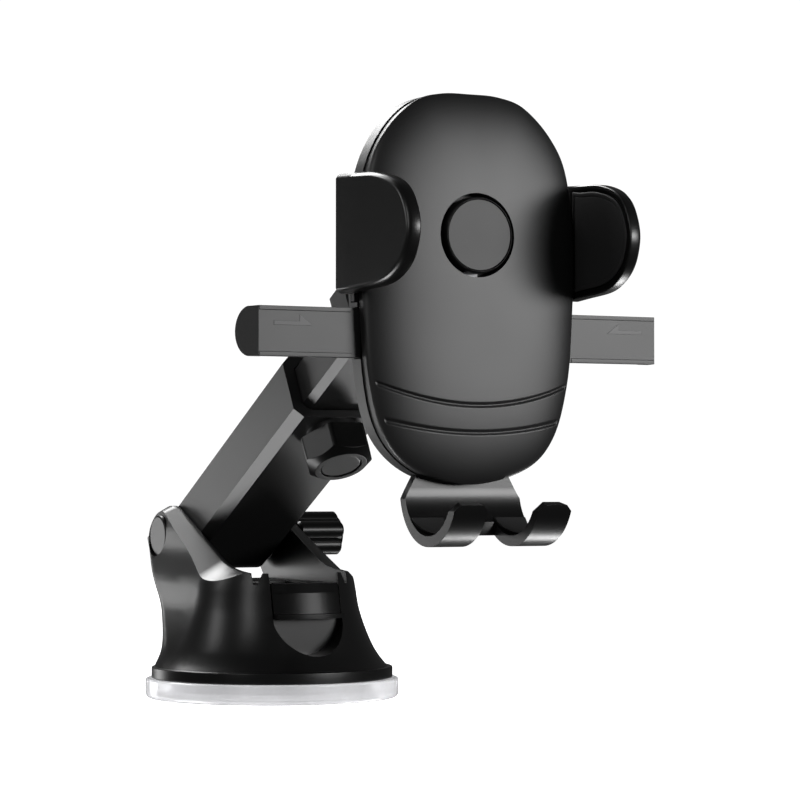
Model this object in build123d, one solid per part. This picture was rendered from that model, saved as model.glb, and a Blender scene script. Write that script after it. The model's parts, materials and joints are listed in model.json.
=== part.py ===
from build123d import *
from math import atan2, cos, pi, radians, sin, sqrt, tan
import os

# Car phone mount: suction base with a lock lever, a folding telescopic arm, and a
# ball-jointed cradle with two sprung jaws, push wings, a release button and a foot.
# Millimetres. X is the user's right, -Y faces the user, +Z is up.
# The origin is the centre of the gel pad's sticky face.

os.makedirs("parts", exist_ok=True)

# ---------------------------------------------------------------- clearances
RUN = 0.05          # radial clearance of a shaft in its bore
FIT = 0.15          # gap between pieces fastened to each other
SLIDE = 0.25        # gap between sliding pieces
GAP = 0.4           # gap between pieces that only pass each other
EPS = 0.01          # hairline between faces that meet

# ---------------------------------------------------------------- suction base
PAD_R = 37.8
PAD_T = 5.8
PAD_EDGE = 1.5
RING_R = 36.0
RING_T = 3.4
HOUSING_T = 2.2                     # housing wall
HOUSING_Z0 = PAD_T + RING_T
CUP_R = 30.0
CUP_FLOOR_Z = 2.6
CUP_T = 2.6
CUP_HUB_R = 10.5
CUP_HUB_Z = 14.0
STEM_R = 3.0
STEM_HEAD_R = 7.0
STEM_HEAD_T = 2.0
STEM_DROP = 2.0                     # how far the lever lowers the stem
FLOOR_Z = 20.05                     # top of the inner floor that the lever's cam rides on
FLOOR_T = 2.0
STEM_SPRING_R = 6.0
STEM_SPRING_WIRE = 1.0

# Housing sections: height, front radius and half width, rear reach, rear corner radius
HOUSING_SECTIONS = [
    (9.2, 34.6, 34.6, 33.0),
    (12.8, 31.6, 32.0, 26.0),
    (17.0, 29.3, 30.8, 20.0),
    (22.0, 27.3, 31.2, 14.5),
    (27.5, 25.7, 33.2, 10.5),
    (33.0, 24.8, 37.0, 7.5),
    (38.0, 23.6, 41.5, 6.0),
    (44.0, 22.0, 46.0, 4.5),
    (50.0, 21.2, 49.0, 3.5),
    (60.0, 20.8, 50.5, 3.0),
]
DECK_Z = 34.2                       # top of the deck between the ears
DECK_T = 2.0
FRONT_WALL_Y = -20.0                # inner face of the front rim
NOTCH_BACK_Y = -17.6                # back of the lever's notch, clear of its corners as it flips
RIM_FRONT_Z = 37.0
RIM_BEND_Y = 0.5                    # where the rim leaves the level front
RIM_SLOPE = 0.46
RIM_CHAMFER_DROP = 2.3
RIM_CHAMFER_X = 17.0                # where the outer chamfer starts
EAR_INNER_X = 15.35
EAR_OUTER_X = 21.0

# ---------------------------------------------------------------- arm pivot
PIVOT_Y = 36.9
PIVOT_Z = 47.6
EAR_R = 9.2
BOLT_R = 3.0
BOLT_HEAD_R = 5.0
BOLT_HEAD_T = 2.6
CAP_R = 6.3
CAP_T = 1.2
WASHER_R = 7.5
WASHER_T = 0.4

# ---------------------------------------------------------------- side knob
SIDE_KNOB_X0 = 22.6
SIDE_KNOB_LENGTH = 17.0
SIDE_KNOB_R = 7.2
SIDE_KNOB_LOBES = 5
SIDE_KNOB_LOBE_R = 3.6
INSERT_R = 4.2
INSERT_LENGTH = 9.0

# ---------------------------------------------------------------- lock lever
LEVER_PIN_Z = 26.0
LEVER_PIN_R = 1.5
LEVER_HALF_WIDTH = 10.8
LEVER_TOP_Z = 34.4
LEVER_LOW_Z = 24.3
LEVER_TOP_R = 24.2                  # radii about the base's axis, from the top down
LEVER_SHOULDER_R = 25.3
LEVER_LIP_R = 28.6
LEVER_SHOULDER_Z = 31.8
LEVER_LIP_Z = 25.7
LEVER_STEP = 0.35                   # the panel sits back from its shoulder
LEVER_PANEL_R = 26.3
LEVER_PANEL_T = 2.4
LEVER_BAR_X = 7.4
LEVER_HUB_R = 2.9
LEVER_LOBE_R = 1.9
LEVER_LOBE_DROP = 3.5
LEVER_FORK_GAP_X = 3.5
SCOOP_LOW_Z = 13.5
SCOOP_BACK_Y = -21.8
SCOOP_WALL = 1.6

# ---------------------------------------------------------------- arm
ARM_ANGLE = 29.25                   # rise of the arm above level, degrees
OUTER_HALF_X = 14.86
OUTER_HALF_H = 10.2
OUTER_CHAMFER = 2.7
OUTER_LENGTH = 89.8                 # pivot to mouth
OUTER_CAVITY_START = 13.0
INNER_HALF_X = 11.36
INNER_HALF_H = 7.53
INNER_CHAMFER = 1.97
INNER_START = 44.0
INNER_WALL = 2.0
HEAD_START = 124.1
HEAD_LENGTH = 9.0
HEAD_SPIGOT = 14.0
CLAMP_S = 82.1                      # clamp screw, measured along the arm
CLAMP_BOSS_R = 7.6
CLAMP_BOSS_H = 2.0
CLAMP_SCREW_R = 2.5
CLAMP_NUT_HALF = 4.0
CLAMP_NUT_T = 3.0
CLAMP_PAD_R = 3.6
CLAMP_PAD_T = 1.0
CLAMP_KNOB_R = 10.6
CLAMP_KNOB_FACE = 22.2              # knob face, measured from the arm's axis
CLAMP_KNOB_CONE_R = 7.6
CLAMP_KNOB_CONE_T = 3.4
CLAMP_DISC_R = 5.9
CLAMP_DISC_T = 1.0

# ---------------------------------------------------------------- ball joint
BALL_Y = -97.0
BALL_Z = 117.0
BALL_R = 8.5
BALL_NECK_R = 3.6
LINER_T = 1.2
LINER_EDGE_DEG = 12.0               # liner rim, degrees behind the ball's equator
NUT_R = 16.5
NUT_LENGTH = 10.5
NUT_RIBS = 18
NUT_RIB_R = 1.1
SOCKET_R = 13.2

# ---------------------------------------------------------------- cradle case
CASE_BACK_Y = -110.0
CASE_RIM_Y = -112.4
CASE_SEAM_Y = -117.2
FRAME_FRONT_Y = -120.5
COVER_DEPTH = 4.5                   # dome height of the front cover
CASE_HALF_X = 31.8
CASE_TOP_Z = 166.4
CASE_LOW_Z = 63.4
CASE_WALL = 1.6
DOME_STEPS = [1.0, 0.985, 0.94, 0.86, 0.72, 0.5]      # sizes of the crown's sections, rim first
SEAM_STEP = 0.35
# Right half of the case outline, from the top round to the bottom
CASE_OUTLINE = [
    (0.0, 166.4), (8.5, 166.1), (16.4, 163.7), (24.6, 156.1), (29.6, 146.0),
    (31.8, 127.0), (31.4, 108.0), (29.9, 90.5), (25.4, 75.6), (16.6, 67.2), (0.0, 63.4),
]

# ---------------------------------------------------------------- sliders, wings and jaws
SLIDER_BACK_Y = -113.9
SLIDER_FRONT_Y = -117.4
JAW_TRAVEL = 18.0
WING_LOW_Z = 96.3
WING_HIGH_Z = 109.2
WING_END_X = 59.65
WING_EDGE_H = 1.1
WING_EDGE_T = 0.35
WING_FLANGE_T = 3.0
WING_FLANGE_BACK_Y = -107.2
WING_FLANGE_X = 61.8
WING_FLANGE_ROUND_Y = -112.6        # where the flange's straight edges turn into its round back
WING_HOLLOW = 1.0                   # depth of the fingertip hollow
WING_HOLLOW_HALF = 5.6              # half its height
WING_HOLLOW_Y = -115.6
CROSS_LOW_Z = 111.0
CROSS_HIGH_Z = 137.0
JAW_BACK_Y = -116.3                 # where the jaw leaves the case
JAW_LOW_Z = 112.8
JAW_HIGH_Z = 144.0
JAW_TIP_Y = -151.0
# Front edge of the jaw in side view, from the top to the underside: (y, z)
JAW_CURVE = [
    (-134.0, 142.7), (-143.4, 139.9), (-148.6, 135.2), (JAW_TIP_Y, 128.0), (-148.7, 120.8),
    (-143.6, 116.5), (-136.5, 114.2),
]
JAW_TAB_T = 2.0                     # tab behind the jaw that meets the slider
JAW_OUTER_ROOT_X = 37.3
JAW_OUTER_TIP_X = 34.6
JAW_INNER_ROOT_X = 32.5
JAW_INNER_TIP_X = 30.8
JAW_PAD_T = 0.9
JAW_PAD_MARGIN = 1.7
JAW_PAD_BACK_Y = -119.5
JAW_PAD_CLEAR = 0.1
JAW_PAD_SINK = 0.7
PINION_Z = 124.0
PINION_PITCH_R = 6.0
PINION_TEETH = 12
PINION_PIN_R = 1.5
TOOTH_ADDENDUM = 0.75
TOOTH_DEDENDUM = 1.15
TOOTH_BACKLASH = 0.5
PRESSURE_DEG = 20.0
JAW_SPRING_R = 1.4
JAW_SPRING_WIRE = 0.6
JAW_SPRING_Z = 141.0
JAW_SPRING_X = 6.6
SPRING_TAB = 1.8

# ---------------------------------------------------------------- release button
BUTTON_Z = 128.8
BUTTON_HOLE_R = 11.1
BUTTON_R = 10.1
BUTTON_FACE_R = 9.35
BUTTON_EDGE_Y = -125.1
BUTTON_FACE_Y = -126.2
BUTTON_STEM_R = 3.2
BUTTON_BACK_Y = -122.6
BUTTON_SPRING_R = 5.0
BUTTON_SPRING_WIRE = 0.7
LATCH_PIVOT_Y = -120.4
LATCH_PIVOT_Z = 114.6
LATCH_PIN_R = 0.8
LATCH_HALF_X = 2.0
LATCH_TOP_Z = 121.6
LATCH_LOW_Z = 107.8
LATCH_T = 1.1

# ---------------------------------------------------------------- case screws
SCREW_R = 1.2
SCREW_HEAD_R = 2.3
SCREW_HEAD_T = 1.3
SCREW_BOSS_R = 2.8
SCREW_SPOTS = [(13.0, 153.0), (-13.0, 153.0), (19.5, 80.5), (-19.5, 80.5)]
SCREW_TIP_Y = -121.6

# ---------------------------------------------------------------- cover grooves
GROOVES = [(92.2, 84.2), (82.3, 77.0)]      # (height at the case edge, lowest height)
GROOVE_W = 0.9
GROOVE_RUN = 12.0                   # depth over which the grooves' cutter runs
GROOVE_D = 0.55
GROOVE_END = 1.8                    # the grooves stop this far from the cover's edge

# ---------------------------------------------------------------- foot
FOOT_STEM_X = 8.0
FOOT_STEM_TOP_Z = 93.0
FOOT_NECK_Z = 71.0
FOOT_BACK_Y = -113.9
FOOT_T = 2.8
FOOT_NECK_X = 13.2
FOOT_NECK_LOW_Z = 67.0
FOOT_HALF_X = 17.3
FOOT_WIDE_Z = 59.7
HOOK_INNER_X = 7.5
HOOK_Z = 62.7                       # centre height of the hooks' arc
HOOK_R = 12.6                       # inside radius of the hooks' arc
HOOK_TIP_Z = 59.0
HOOK_GAP_Y = -120.6
HOOK_CORNER = 2.4
FOOT_PAD_R = 4.6
FOOT_PAD_X = 12.4
FOOT_PAD_Z = 54.8
FOOT_PAD_T = 0.7


# ================================================================ helpers
def box(x0, x1, y0, y1, z0, z1):
    """Solid box between two corners."""
    centre = Pos((x0 + x1) / 2, (y0 + y1) / 2, (z0 + z1) / 2)
    return centre * Box(abs(x1 - x0), abs(y1 - y0), abs(z1 - z0))


def rod(radius, start, end):
    """Solid cylinder from one point to another."""
    a = Vector(*start)
    b = Vector(*end)
    plane = Plane(origin=a, z_dir=b - a)
    return plane * Cylinder(radius, (b - a).length, align=(Align.CENTER, Align.CENTER, Align.MIN))


def cone(r0, r1, start, end):
    """Solid cone from one point to another."""
    a = Vector(*start)
    b = Vector(*end)
    plane = Plane(origin=a, z_dir=b - a)
    return plane * Cone(r0, r1, (b - a).length, align=(Align.CENTER, Align.CENTER, Align.MIN))


def ring(outer, inner, start, end):
    """Tube between two points."""
    return rod(outer, start, end) - rod(inner, start, end)


def side_prism(points, x0, x1):
    """Outline of (y, z) points, extruded along X."""
    face = make_face(Polyline(*points, close=True))
    return Pos(x0, 0, 0) * extrude(Plane.YZ * face, x1 - x0)


def front_prism(points, y_back, y_front):
    """Outline of (x, z) points, extruded towards the user."""
    face = make_face(Polyline(*points, close=True))
    return Pos(0, y_back, 0) * extrude(Plane.XZ * face, y_back - y_front)


def closed(*curves):
    """Face inside a closed chain of lines, arcs and splines."""
    return make_face([edge for curve in curves for edge in curve.edges()])


def both(shape):
    """The shape and its mirror image across X = 0."""
    return shape + mirror(shape, about=Plane.YZ)


def save(name, shape):
    """Write one sub-part."""
    solids = shape.solids()
    out = Compound(children=list(solids)) if len(solids) > 1 else solids[0]
    export_step(out, f"parts/{name}.step")
    print(f"{name:22s} solids {len(solids)}  volume {sum(s.volume for s in solids):10.2f}")


ARM = Plane(
    origin=(0, PIVOT_Y, PIVOT_Z),
    x_dir=(1, 0, 0),
    z_dir=(0, -cos(radians(ARM_ANGLE)), sin(radians(ARM_ANGLE))),
)


def arm_point(x, up, along):
    """Point given across, above and along the arm."""
    return tuple(ARM.from_local_coords(Vector(x, up, along)))


# ================================================================ suction base
def housing_section(z, radius, reach, corner, inset=0.0):
    """Closed outline: round at the front, straight sides, rounded rear corners."""
    a = radius - inset
    back = reach - inset
    r = corner - inset if corner > 2 * inset else corner * 0.5
    c = cos(pi / 4)
    face = closed(
        ThreePointArc((-a, 0), (0, -a), (a, 0)),
        Line((a, 0), (a, back - r)),
        ThreePointArc((a, back - r), (a - r + r * c, back - r + r * c), (a - r, back)),
        Line((a - r, back), (r - a, back)),
        ThreePointArc((r - a, back), (r - a - r * c, back - r + r * c), (-a, back - r)),
        Line((-a, back - r), (-a, 0)),
    )
    return Plane.XY.offset(z) * face


def housing_body(inset, z_low, z_high):
    """The flared body, or its inside when inset, between two heights."""
    faces = [housing_section(z, a, b, c, inset) for z, a, b, c in HOUSING_SECTIONS]
    solid = loft(faces)
    return solid & box(-60, 60, -60, 70, z_low, z_high)


def rim_keep(shrink):
    """Side outline that the housing stays inside, lowered by shrink at the rim."""
    slope = atan2(RIM_SLOPE, 1)
    radius = EAR_R - shrink * cos(slope)
    touch = (PIVOT_Y - radius * sin(slope), PIVOT_Z + radius * cos(slope))
    bend = (RIM_BEND_Y, touch[1] - RIM_SLOPE * (touch[0] - RIM_BEND_Y))
    front = (-30.0, RIM_FRONT_Z - shrink)
    return closed(
        Polyline((60, 0), (-60, 0), (-60, front[1]), front),
        Spline([front, bend], tangents=[(1, 0.06), (1, RIM_SLOPE)]),
        Line(bend, touch),
        ThreePointArc(touch, (PIVOT_Y + radius * sin(pi / 4), PIVOT_Z + radius * cos(pi / 4)),
                      (PIVOT_Y + radius, PIVOT_Z)),
        Polyline((PIVOT_Y + radius, PIVOT_Z), (60, PIVOT_Z - 12), (60, 0)),
    )


def base_housing():
    """Flared housing with two ears, a lever notch and a finger scoop."""
    body = housing_body(0.0, HOUSING_Z0, 60)
    core = Pos(-RIM_CHAMFER_X, 0, 0) * extrude(Plane.YZ * rim_keep(0), 2 * RIM_CHAMFER_X)
    outer_x = 26.0
    drop = RIM_CHAMFER_DROP * (outer_x - RIM_CHAMFER_X) / (EAR_OUTER_X - RIM_CHAMFER_X)
    inner_face = Plane.YZ.offset(RIM_CHAMFER_X) * rim_keep(0)
    outer_face = Plane.YZ.offset(outer_x) * rim_keep(drop)
    flank = loft([inner_face, outer_face], ruled=True)
    low = box(-60, 60, -60, 60, 0, 30)
    keep = core + both(flank) + low
    body = body & keep
    body -= housing_body(HOUSING_T, HOUSING_Z0 - 1, DECK_Z - DECK_T)
    body -= box(-EAR_INNER_X, EAR_INNER_X, FRONT_WALL_Y, 60, DECK_Z, 80)
    # lever notch through the front wall and deck
    notch = LEVER_HALF_WIDTH + GAP
    body -= box(-notch, notch, -40, NOTCH_BACK_Y, LEVER_LOW_Z - 2.2, 60)
    bar = LEVER_BAR_X + GAP
    body -= box(-bar, bar, FRONT_WALL_Y - 3, 7.0, DECK_Z - DECK_T - 1, 60)
    # finger scoop under the lever, closed by its own pocket wall
    inside = housing_body(0.0, HOUSING_Z0, 60) & keep
    floor = housing_body(HOUSING_T * 0.5, FLOOR_Z - FLOOR_T, FLOOR_Z)
    floor -= rod(STEM_R + SLIDE, (0, 0, 0), (0, 0, 40))
    body += floor
    body += scoop_shape(SCOOP_WALL) & inside
    body -= scoop_shape(0.0)
    # pivot bores, bolt head recess and cap recess
    axis_low = (-40, PIVOT_Y, PIVOT_Z)
    axis_high = (40, PIVOT_Y, PIVOT_Z)
    body -= rod(BOLT_R + RUN, axis_low, axis_high)
    head_x = -(EAR_OUTER_X - CAP_T - BOLT_HEAD_T)
    body -= rod(BOLT_HEAD_R + FIT, (head_x, PIVOT_Y, PIVOT_Z), (-60, PIVOT_Y, PIVOT_Z))
    body -= rod(CAP_R + FIT, (-(EAR_OUTER_X - CAP_T), PIVOT_Y, PIVOT_Z), (-60, PIVOT_Y, PIVOT_Z))
    return body


def scoop_shape(grow):
    """Rounded pocket for a fingertip under the lever's lip."""
    half = LEVER_HALF_WIDTH + GAP + grow
    top = LEVER_LOW_Z
    low = SCOOP_LOW_Z - grow
    face = closed(
        Line((-half, top), (half, top)),
        Line((half, top), (half, top - 1.5)),
        ThreePointArc((half, top - 1.5), (0, low), (-half, top - 1.5)),
        Line((-half, top - 1.5), (-half, top)),
    )
    return Pos(0, SCOOP_BACK_Y + grow, 0) * extrude(Plane.XZ * face, 30)


def base_ring():
    """Clamp ring that holds the cup's rim under the housing."""
    body = rod(RING_R, (0, 0, PAD_T + EPS), (0, 0, HOUSING_Z0 - EPS))
    body -= rod(CUP_HUB_R + 12.0, (0, 0, 0), (0, 0, 20))
    body = chamfer(body.edges().filter_by(GeomType.CIRCLE).sort_by(Axis.Z)[-1], 0.5)
    return body


def build_base():
    """Everything that stays with the suction base."""
    pad = rod(PAD_R, (0, 0, 0), (0, 0, PAD_T))
    pad = fillet(pad.edges().sort_by(Axis.Z)[0], PAD_EDGE)
    pad = fillet(pad.edges().sort_by(Axis.Z)[-1], 0.6)
    pad -= rod(CUP_R + FIT, (0, 0, CUP_FLOOR_Z), (0, 0, 20))
    save("gel_pad", pad)

    cup = rod(CUP_R, (0, 0, CUP_FLOOR_Z + EPS), (0, 0, CUP_FLOOR_Z + CUP_T))
    cup += rod(CUP_HUB_R, (0, 0, CUP_FLOOR_Z + EPS), (0, 0, CUP_HUB_Z))
    head_top = CUP_HUB_Z - 2.0
    cup -= rod(STEM_HEAD_R + SLIDE, (0, 0, head_top - STEM_HEAD_T - STEM_DROP - 0.4), (0, 0, head_top + 0.1))
    cup -= rod(STEM_R + RUN, (0, 0, 5), (0, 0, 30))
    save("suction_cup", cup)
    spring_top = FLOOR_Z - FLOOR_T - EPS
    spring_ends = (0, 0, CUP_HUB_Z + EPS), (0, 0, spring_top)
    spring = ring(STEM_SPRING_R, STEM_SPRING_R - STEM_SPRING_WIRE, *spring_ends)
    save("stem_spring", spring)

    save("base_ring", base_ring())
    save("base_housing", base_housing())

    stem = rod(STEM_HEAD_R, (0, 0, head_top - STEM_HEAD_T), (0, 0, head_top))
    stem += rod(STEM_R, (0, 0, head_top - 0.5), (0, 0, LEVER_PIN_Z - 2.0))
    stem += rod(3.2, (-2.8, 0, LEVER_PIN_Z), (2.8, 0, LEVER_PIN_Z))
    stem -= rod(LEVER_PIN_R + EPS, (-9, 0, LEVER_PIN_Z), (9, 0, LEVER_PIN_Z))
    save("suction_stem", stem)

    pin = rod(LEVER_PIN_R, (-LEVER_BAR_X, 0, LEVER_PIN_Z), (LEVER_BAR_X, 0, LEVER_PIN_Z))
    save("lever_pin", pin)

    bolt_x = -(EAR_OUTER_X - CAP_T - BOLT_HEAD_T) - EPS
    nut_x = SIDE_KNOB_X0 + INSERT_LENGTH
    bolt = rod(BOLT_R, (bolt_x, PIVOT_Y, PIVOT_Z), (nut_x, PIVOT_Y, PIVOT_Z))
    hexagon = RegularPolygon(BOLT_HEAD_R, 6)
    head = Plane(origin=(bolt_x, PIVOT_Y, PIVOT_Z), z_dir=(-1, 0, 0)) * extrude(hexagon, BOLT_HEAD_T - FIT)
    save("pivot_bolt", bolt + head)

    cap_x = EAR_OUTER_X - CAP_T + EPS
    cap = rod(CAP_R, (-cap_x, PIVOT_Y, PIVOT_Z), (-EAR_OUTER_X - 0.5, PIVOT_Y, PIVOT_Z))
    cap = chamfer(cap.edges().sort_by(Axis.X)[0], 0.45)
    save("ear_cap", cap)

    inner = EAR_INNER_X - EPS
    washer = ring(WASHER_R, BOLT_R + RUN, (inner, PIVOT_Y, PIVOT_Z), (inner - WASHER_T, PIVOT_Y, PIVOT_Z))
    save("friction_washers", both(washer))


def lock_lever():
    """Panel curved round the base, with a shoulder and a lip, on a bar forked round the stem."""
    low = (0, 0, LEVER_LOW_Z)
    lip = (0, 0, LEVER_LIP_Z)
    step = (0, 0, LEVER_SHOULDER_Z)
    top = (0, 0, LEVER_TOP_Z)
    shell = rod(LEVER_LIP_R, low, lip)
    shell += cone(LEVER_PANEL_R, LEVER_SHOULDER_R - LEVER_STEP, lip, step)
    shell += cone(LEVER_SHOULDER_R, LEVER_TOP_R, step, top)
    bore = cone(LEVER_PANEL_R - LEVER_PANEL_T, LEVER_TOP_R - LEVER_PANEL_T, low, top)
    width = LEVER_HALF_WIDTH
    panel = shell - bore
    panel &= box(-width, width, -LEVER_LIP_R, FRONT_WALL_Y - GAP, LEVER_LOW_Z, LEVER_TOP_Z)
    reach_low = LEVER_PANEL_T / 2 - LEVER_PANEL_R
    reach_top = LEVER_PANEL_T / 2 - LEVER_TOP_R
    floor = LEVER_LOW_Z + 0.5
    bar = side_prism([
        (reach_top, LEVER_TOP_Z), (reach_low, floor), (-LEVER_HUB_R - 1, floor),
        (0, LEVER_PIN_Z), (0, LEVER_PIN_Z + LEVER_HUB_R), (-10.0, DECK_Z),
    ], -LEVER_BAR_X, LEVER_BAR_X)
    hub = rod(LEVER_HUB_R, (-LEVER_BAR_X, 0, LEVER_PIN_Z), (LEVER_BAR_X, 0, LEVER_PIN_Z))
    lobe_z = LEVER_PIN_Z - LEVER_LOBE_DROP
    lobe = rod(LEVER_LOBE_R, (-LEVER_BAR_X, 0, lobe_z), (LEVER_BAR_X, 0, lobe_z))
    web = side_prism([(-LEVER_HUB_R, LEVER_PIN_Z), (LEVER_HUB_R, LEVER_PIN_Z), (LEVER_LOBE_R, lobe_z),
                      (-LEVER_LOBE_R, lobe_z)], -LEVER_BAR_X, LEVER_BAR_X)
    body = panel + bar + hub + lobe + web
    body -= box(-LEVER_FORK_GAP_X, LEVER_FORK_GAP_X, -9.5, 10, 0, 40)
    body -= rod(LEVER_PIN_R + RUN, (-20, 0, LEVER_PIN_Z), (20, 0, LEVER_PIN_Z))
    return body


def side_knob():
    """Lobed thumb knob on the pivot bolt."""
    x0 = SIDE_KNOB_X0
    x1 = x0 + SIDE_KNOB_LENGTH
    body = rod(SIDE_KNOB_R - 1.6, (x0, PIVOT_Y, PIVOT_Z), (x1, PIVOT_Y, PIVOT_Z))
    for k in range(SIDE_KNOB_LOBES):
        angle = 2 * pi * k / SIDE_KNOB_LOBES + pi / 2
        reach = SIDE_KNOB_R - SIDE_KNOB_LOBE_R + 0.6
        y = PIVOT_Y + reach * cos(angle)
        z = PIVOT_Z + reach * sin(angle)
        lobe = rod(SIDE_KNOB_LOBE_R - 0.6, (x0 + 1.5, y, z), (x1, y, z))
        body += chamfer(lobe.edges().filter_by(GeomType.CIRCLE), 0.8)
    body -= rod(INSERT_R + EPS, (x0 - 1, PIVOT_Y, PIVOT_Z), (x0 + INSERT_LENGTH, PIVOT_Y, PIVOT_Z))
    return body


def build_side_knob():
    """Thumb knob and its brass insert."""
    save("side_knob", side_knob())
    x0 = SIDE_KNOB_X0
    x1 = x0 + INSERT_LENGTH - EPS
    insert = ring(INSERT_R, BOLT_R + RUN, (x0, PIVOT_Y, PIVOT_Z), (x1, PIVOT_Y, PIVOT_Z))
    save("side_knob_insert", insert)


# ================================================================ arm
def tube_section(half_x, half_h, cut):
    """Rectangle with chamfered corners."""
    return make_face(Polyline(
        (half_x, half_h - cut), (half_x - cut, half_h), (cut - half_x, half_h), (-half_x, half_h - cut),
        (-half_x, cut - half_h), (cut - half_x, -half_h), (half_x - cut, -half_h), (half_x, cut - half_h),
        close=True))


def tube(half_x, half_h, cut, start, end):
    """Chamfered bar along the arm, in the arm's own axes."""
    return Pos(0, 0, start) * extrude(tube_section(half_x, half_h, cut), end - start)


def knuckle():
    """Rounded tail of the outer arm around the pivot bolt."""
    across = Plane(origin=(-OUTER_HALF_X, 0, 0), z_dir=(1, 0, 0))
    body = across * Cylinder(OUTER_HALF_H, 2 * OUTER_HALF_X, align=(Align.CENTER, Align.CENTER, Align.MIN))
    return chamfer(body.edges().filter_by(GeomType.CIRCLE), OUTER_CHAMFER)


def outer_arm():
    """Square tube with a bored knuckle and a clamp boss under its mouth."""
    body = knuckle() + tube(OUTER_HALF_X, OUTER_HALF_H, OUTER_CHAMFER, 0, OUTER_LENGTH)
    cavity_x = INNER_HALF_X + SLIDE
    cavity_h = INNER_HALF_H + SLIDE
    body -= tube(cavity_x, cavity_h, INNER_CHAMFER + 0.1, OUTER_CAVITY_START, OUTER_LENGTH + 5)
    across = Plane(origin=(-30, 0, 0), z_dir=(1, 0, 0))
    body -= across * Cylinder(BOLT_R + RUN, 60, align=(Align.CENTER, Align.CENTER, Align.MIN))
    boss = rod(CLAMP_BOSS_R, (0, -(cavity_h + 0.5), CLAMP_S), (0, -(OUTER_HALF_H + CLAMP_BOSS_H), CLAMP_S))
    body += boss
    body -= rod(CLAMP_SCREW_R + RUN, (0, -5, CLAMP_S), (0, -30, CLAMP_S))
    nut_low = OUTER_HALF_H + CLAMP_BOSS_H - 0.6
    half = CLAMP_NUT_HALF + FIT
    nut_top = nut_low - CLAMP_NUT_T - 2 * EPS
    body -= box(-half, half, -nut_low, -nut_top, CLAMP_S - half, CLAMP_S + half)
    body -= rod(CLAMP_PAD_R + FIT, (0, -(cavity_h - 1), CLAMP_S), (0, -(cavity_h + CLAMP_PAD_T), CLAMP_S))
    return ARM * body


def build_arm():
    """Outer tube, its clamp, the inner tube and its head."""
    save("outer_arm", outer_arm())
    nut_low = OUTER_HALF_H + CLAMP_BOSS_H - 0.6 - EPS
    half = CLAMP_NUT_HALF
    nut = box(-half, half, -nut_low, -(nut_low - CLAMP_NUT_T), CLAMP_S - half, CLAMP_S + half)
    nut -= rod(CLAMP_SCREW_R + RUN, (0, -5, CLAMP_S), (0, -30, CLAMP_S))
    save("clamp_nut", ARM * nut)
    pad_top = INNER_HALF_H + 0.03
    pad = rod(CLAMP_PAD_R, (0, -pad_top, CLAMP_S), (0, -(pad_top + CLAMP_PAD_T), CLAMP_S))
    save("pressure_pad", ARM * pad)

    knob_back = OUTER_HALF_H + CLAMP_BOSS_H + GAP
    knob = clamp_knob(knob_back)
    save("clamp_knob", ARM * knob)
    disc_back = CLAMP_KNOB_FACE - CLAMP_DISC_T + EPS
    disc = rod(CLAMP_DISC_R, (0, -disc_back, CLAMP_S), (0, -CLAMP_KNOB_FACE + 0.35, CLAMP_S))
    disc = chamfer(disc.edges().sort_by(Axis.Y)[0], 0.25)
    save("clamp_knob_disc", ARM * disc)
    screw_start = pad_top + CLAMP_PAD_T + 0.05
    screw = rod(CLAMP_SCREW_R, (0, -screw_start, CLAMP_S), (0, -(CLAMP_KNOB_FACE - 3.5), CLAMP_S))
    save("clamp_screw", ARM * screw)

    inner = tube(INNER_HALF_X, INNER_HALF_H, INNER_CHAMFER, INNER_START, HEAD_START - EPS)
    cavity = tube(INNER_HALF_X - INNER_WALL, INNER_HALF_H - INNER_WALL, 1.2, INNER_START - 1, HEAD_START + 1)
    save("inner_arm", ARM * (inner - cavity))
    save("arm_head", arm_head())
    save("ball_stud", ball_stud())


def clamp_knob(back):
    """Hexagonal knob whose facets fade into a cone."""
    hexagon = RegularPolygon(CLAMP_KNOB_R, 6)
    hexagon = fillet(hexagon.vertices(), 1.6)
    plane = Plane(origin=(0, -back, CLAMP_S), x_dir=(1, 0, 0), z_dir=(0, -1, 0))
    height = CLAMP_KNOB_FACE - back
    body = plane * extrude(hexagon, height)
    cone_start = CLAMP_KNOB_FACE - CLAMP_KNOB_CONE_T
    limit = rod(CLAMP_KNOB_R + 1, (0, -back, CLAMP_S), (0, -cone_start, CLAMP_S))
    cone_ends = (0, -cone_start, CLAMP_S), (0, -CLAMP_KNOB_FACE, CLAMP_S)
    limit += cone(CLAMP_KNOB_R + 1, CLAMP_KNOB_CONE_R, *cone_ends)
    body &= limit
    body -= rod(CLAMP_DISC_R + FIT, (0, -(CLAMP_KNOB_FACE - CLAMP_DISC_T), CLAMP_S), (0, -30, CLAMP_S))
    body -= rod(CLAMP_SCREW_R + EPS, (0, 0, CLAMP_S), (0, -(CLAMP_KNOB_FACE - 3.5 + EPS), CLAMP_S))
    return body


def arm_head():
    """End block of the inner arm: a collar, a spigot in the tube and the stud's seat."""
    collar = tube(OUTER_HALF_X, OUTER_HALF_H, OUTER_CHAMFER, HEAD_START, HEAD_START + HEAD_LENGTH)
    wall = INNER_WALL + FIT
    spigot = tube(INNER_HALF_X - wall, INNER_HALF_H - wall, 1.2, HEAD_START - HEAD_SPIGOT, HEAD_START + 1)
    body = ARM * (collar + spigot)
    start = Vector(*arm_point(0, 0, HEAD_START + HEAD_LENGTH - 3))
    ball = Vector(0, BALL_Y, BALL_Z)
    way = (ball - start).normalized()
    tip = ball - way * (BALL_R + 2.5)
    body += cone(7.6, 5.6, tuple(start), tuple(tip))
    body -= rod(BALL_NECK_R + EPS, tuple(start + way * 0.5), tuple(ball))
    return body


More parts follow.
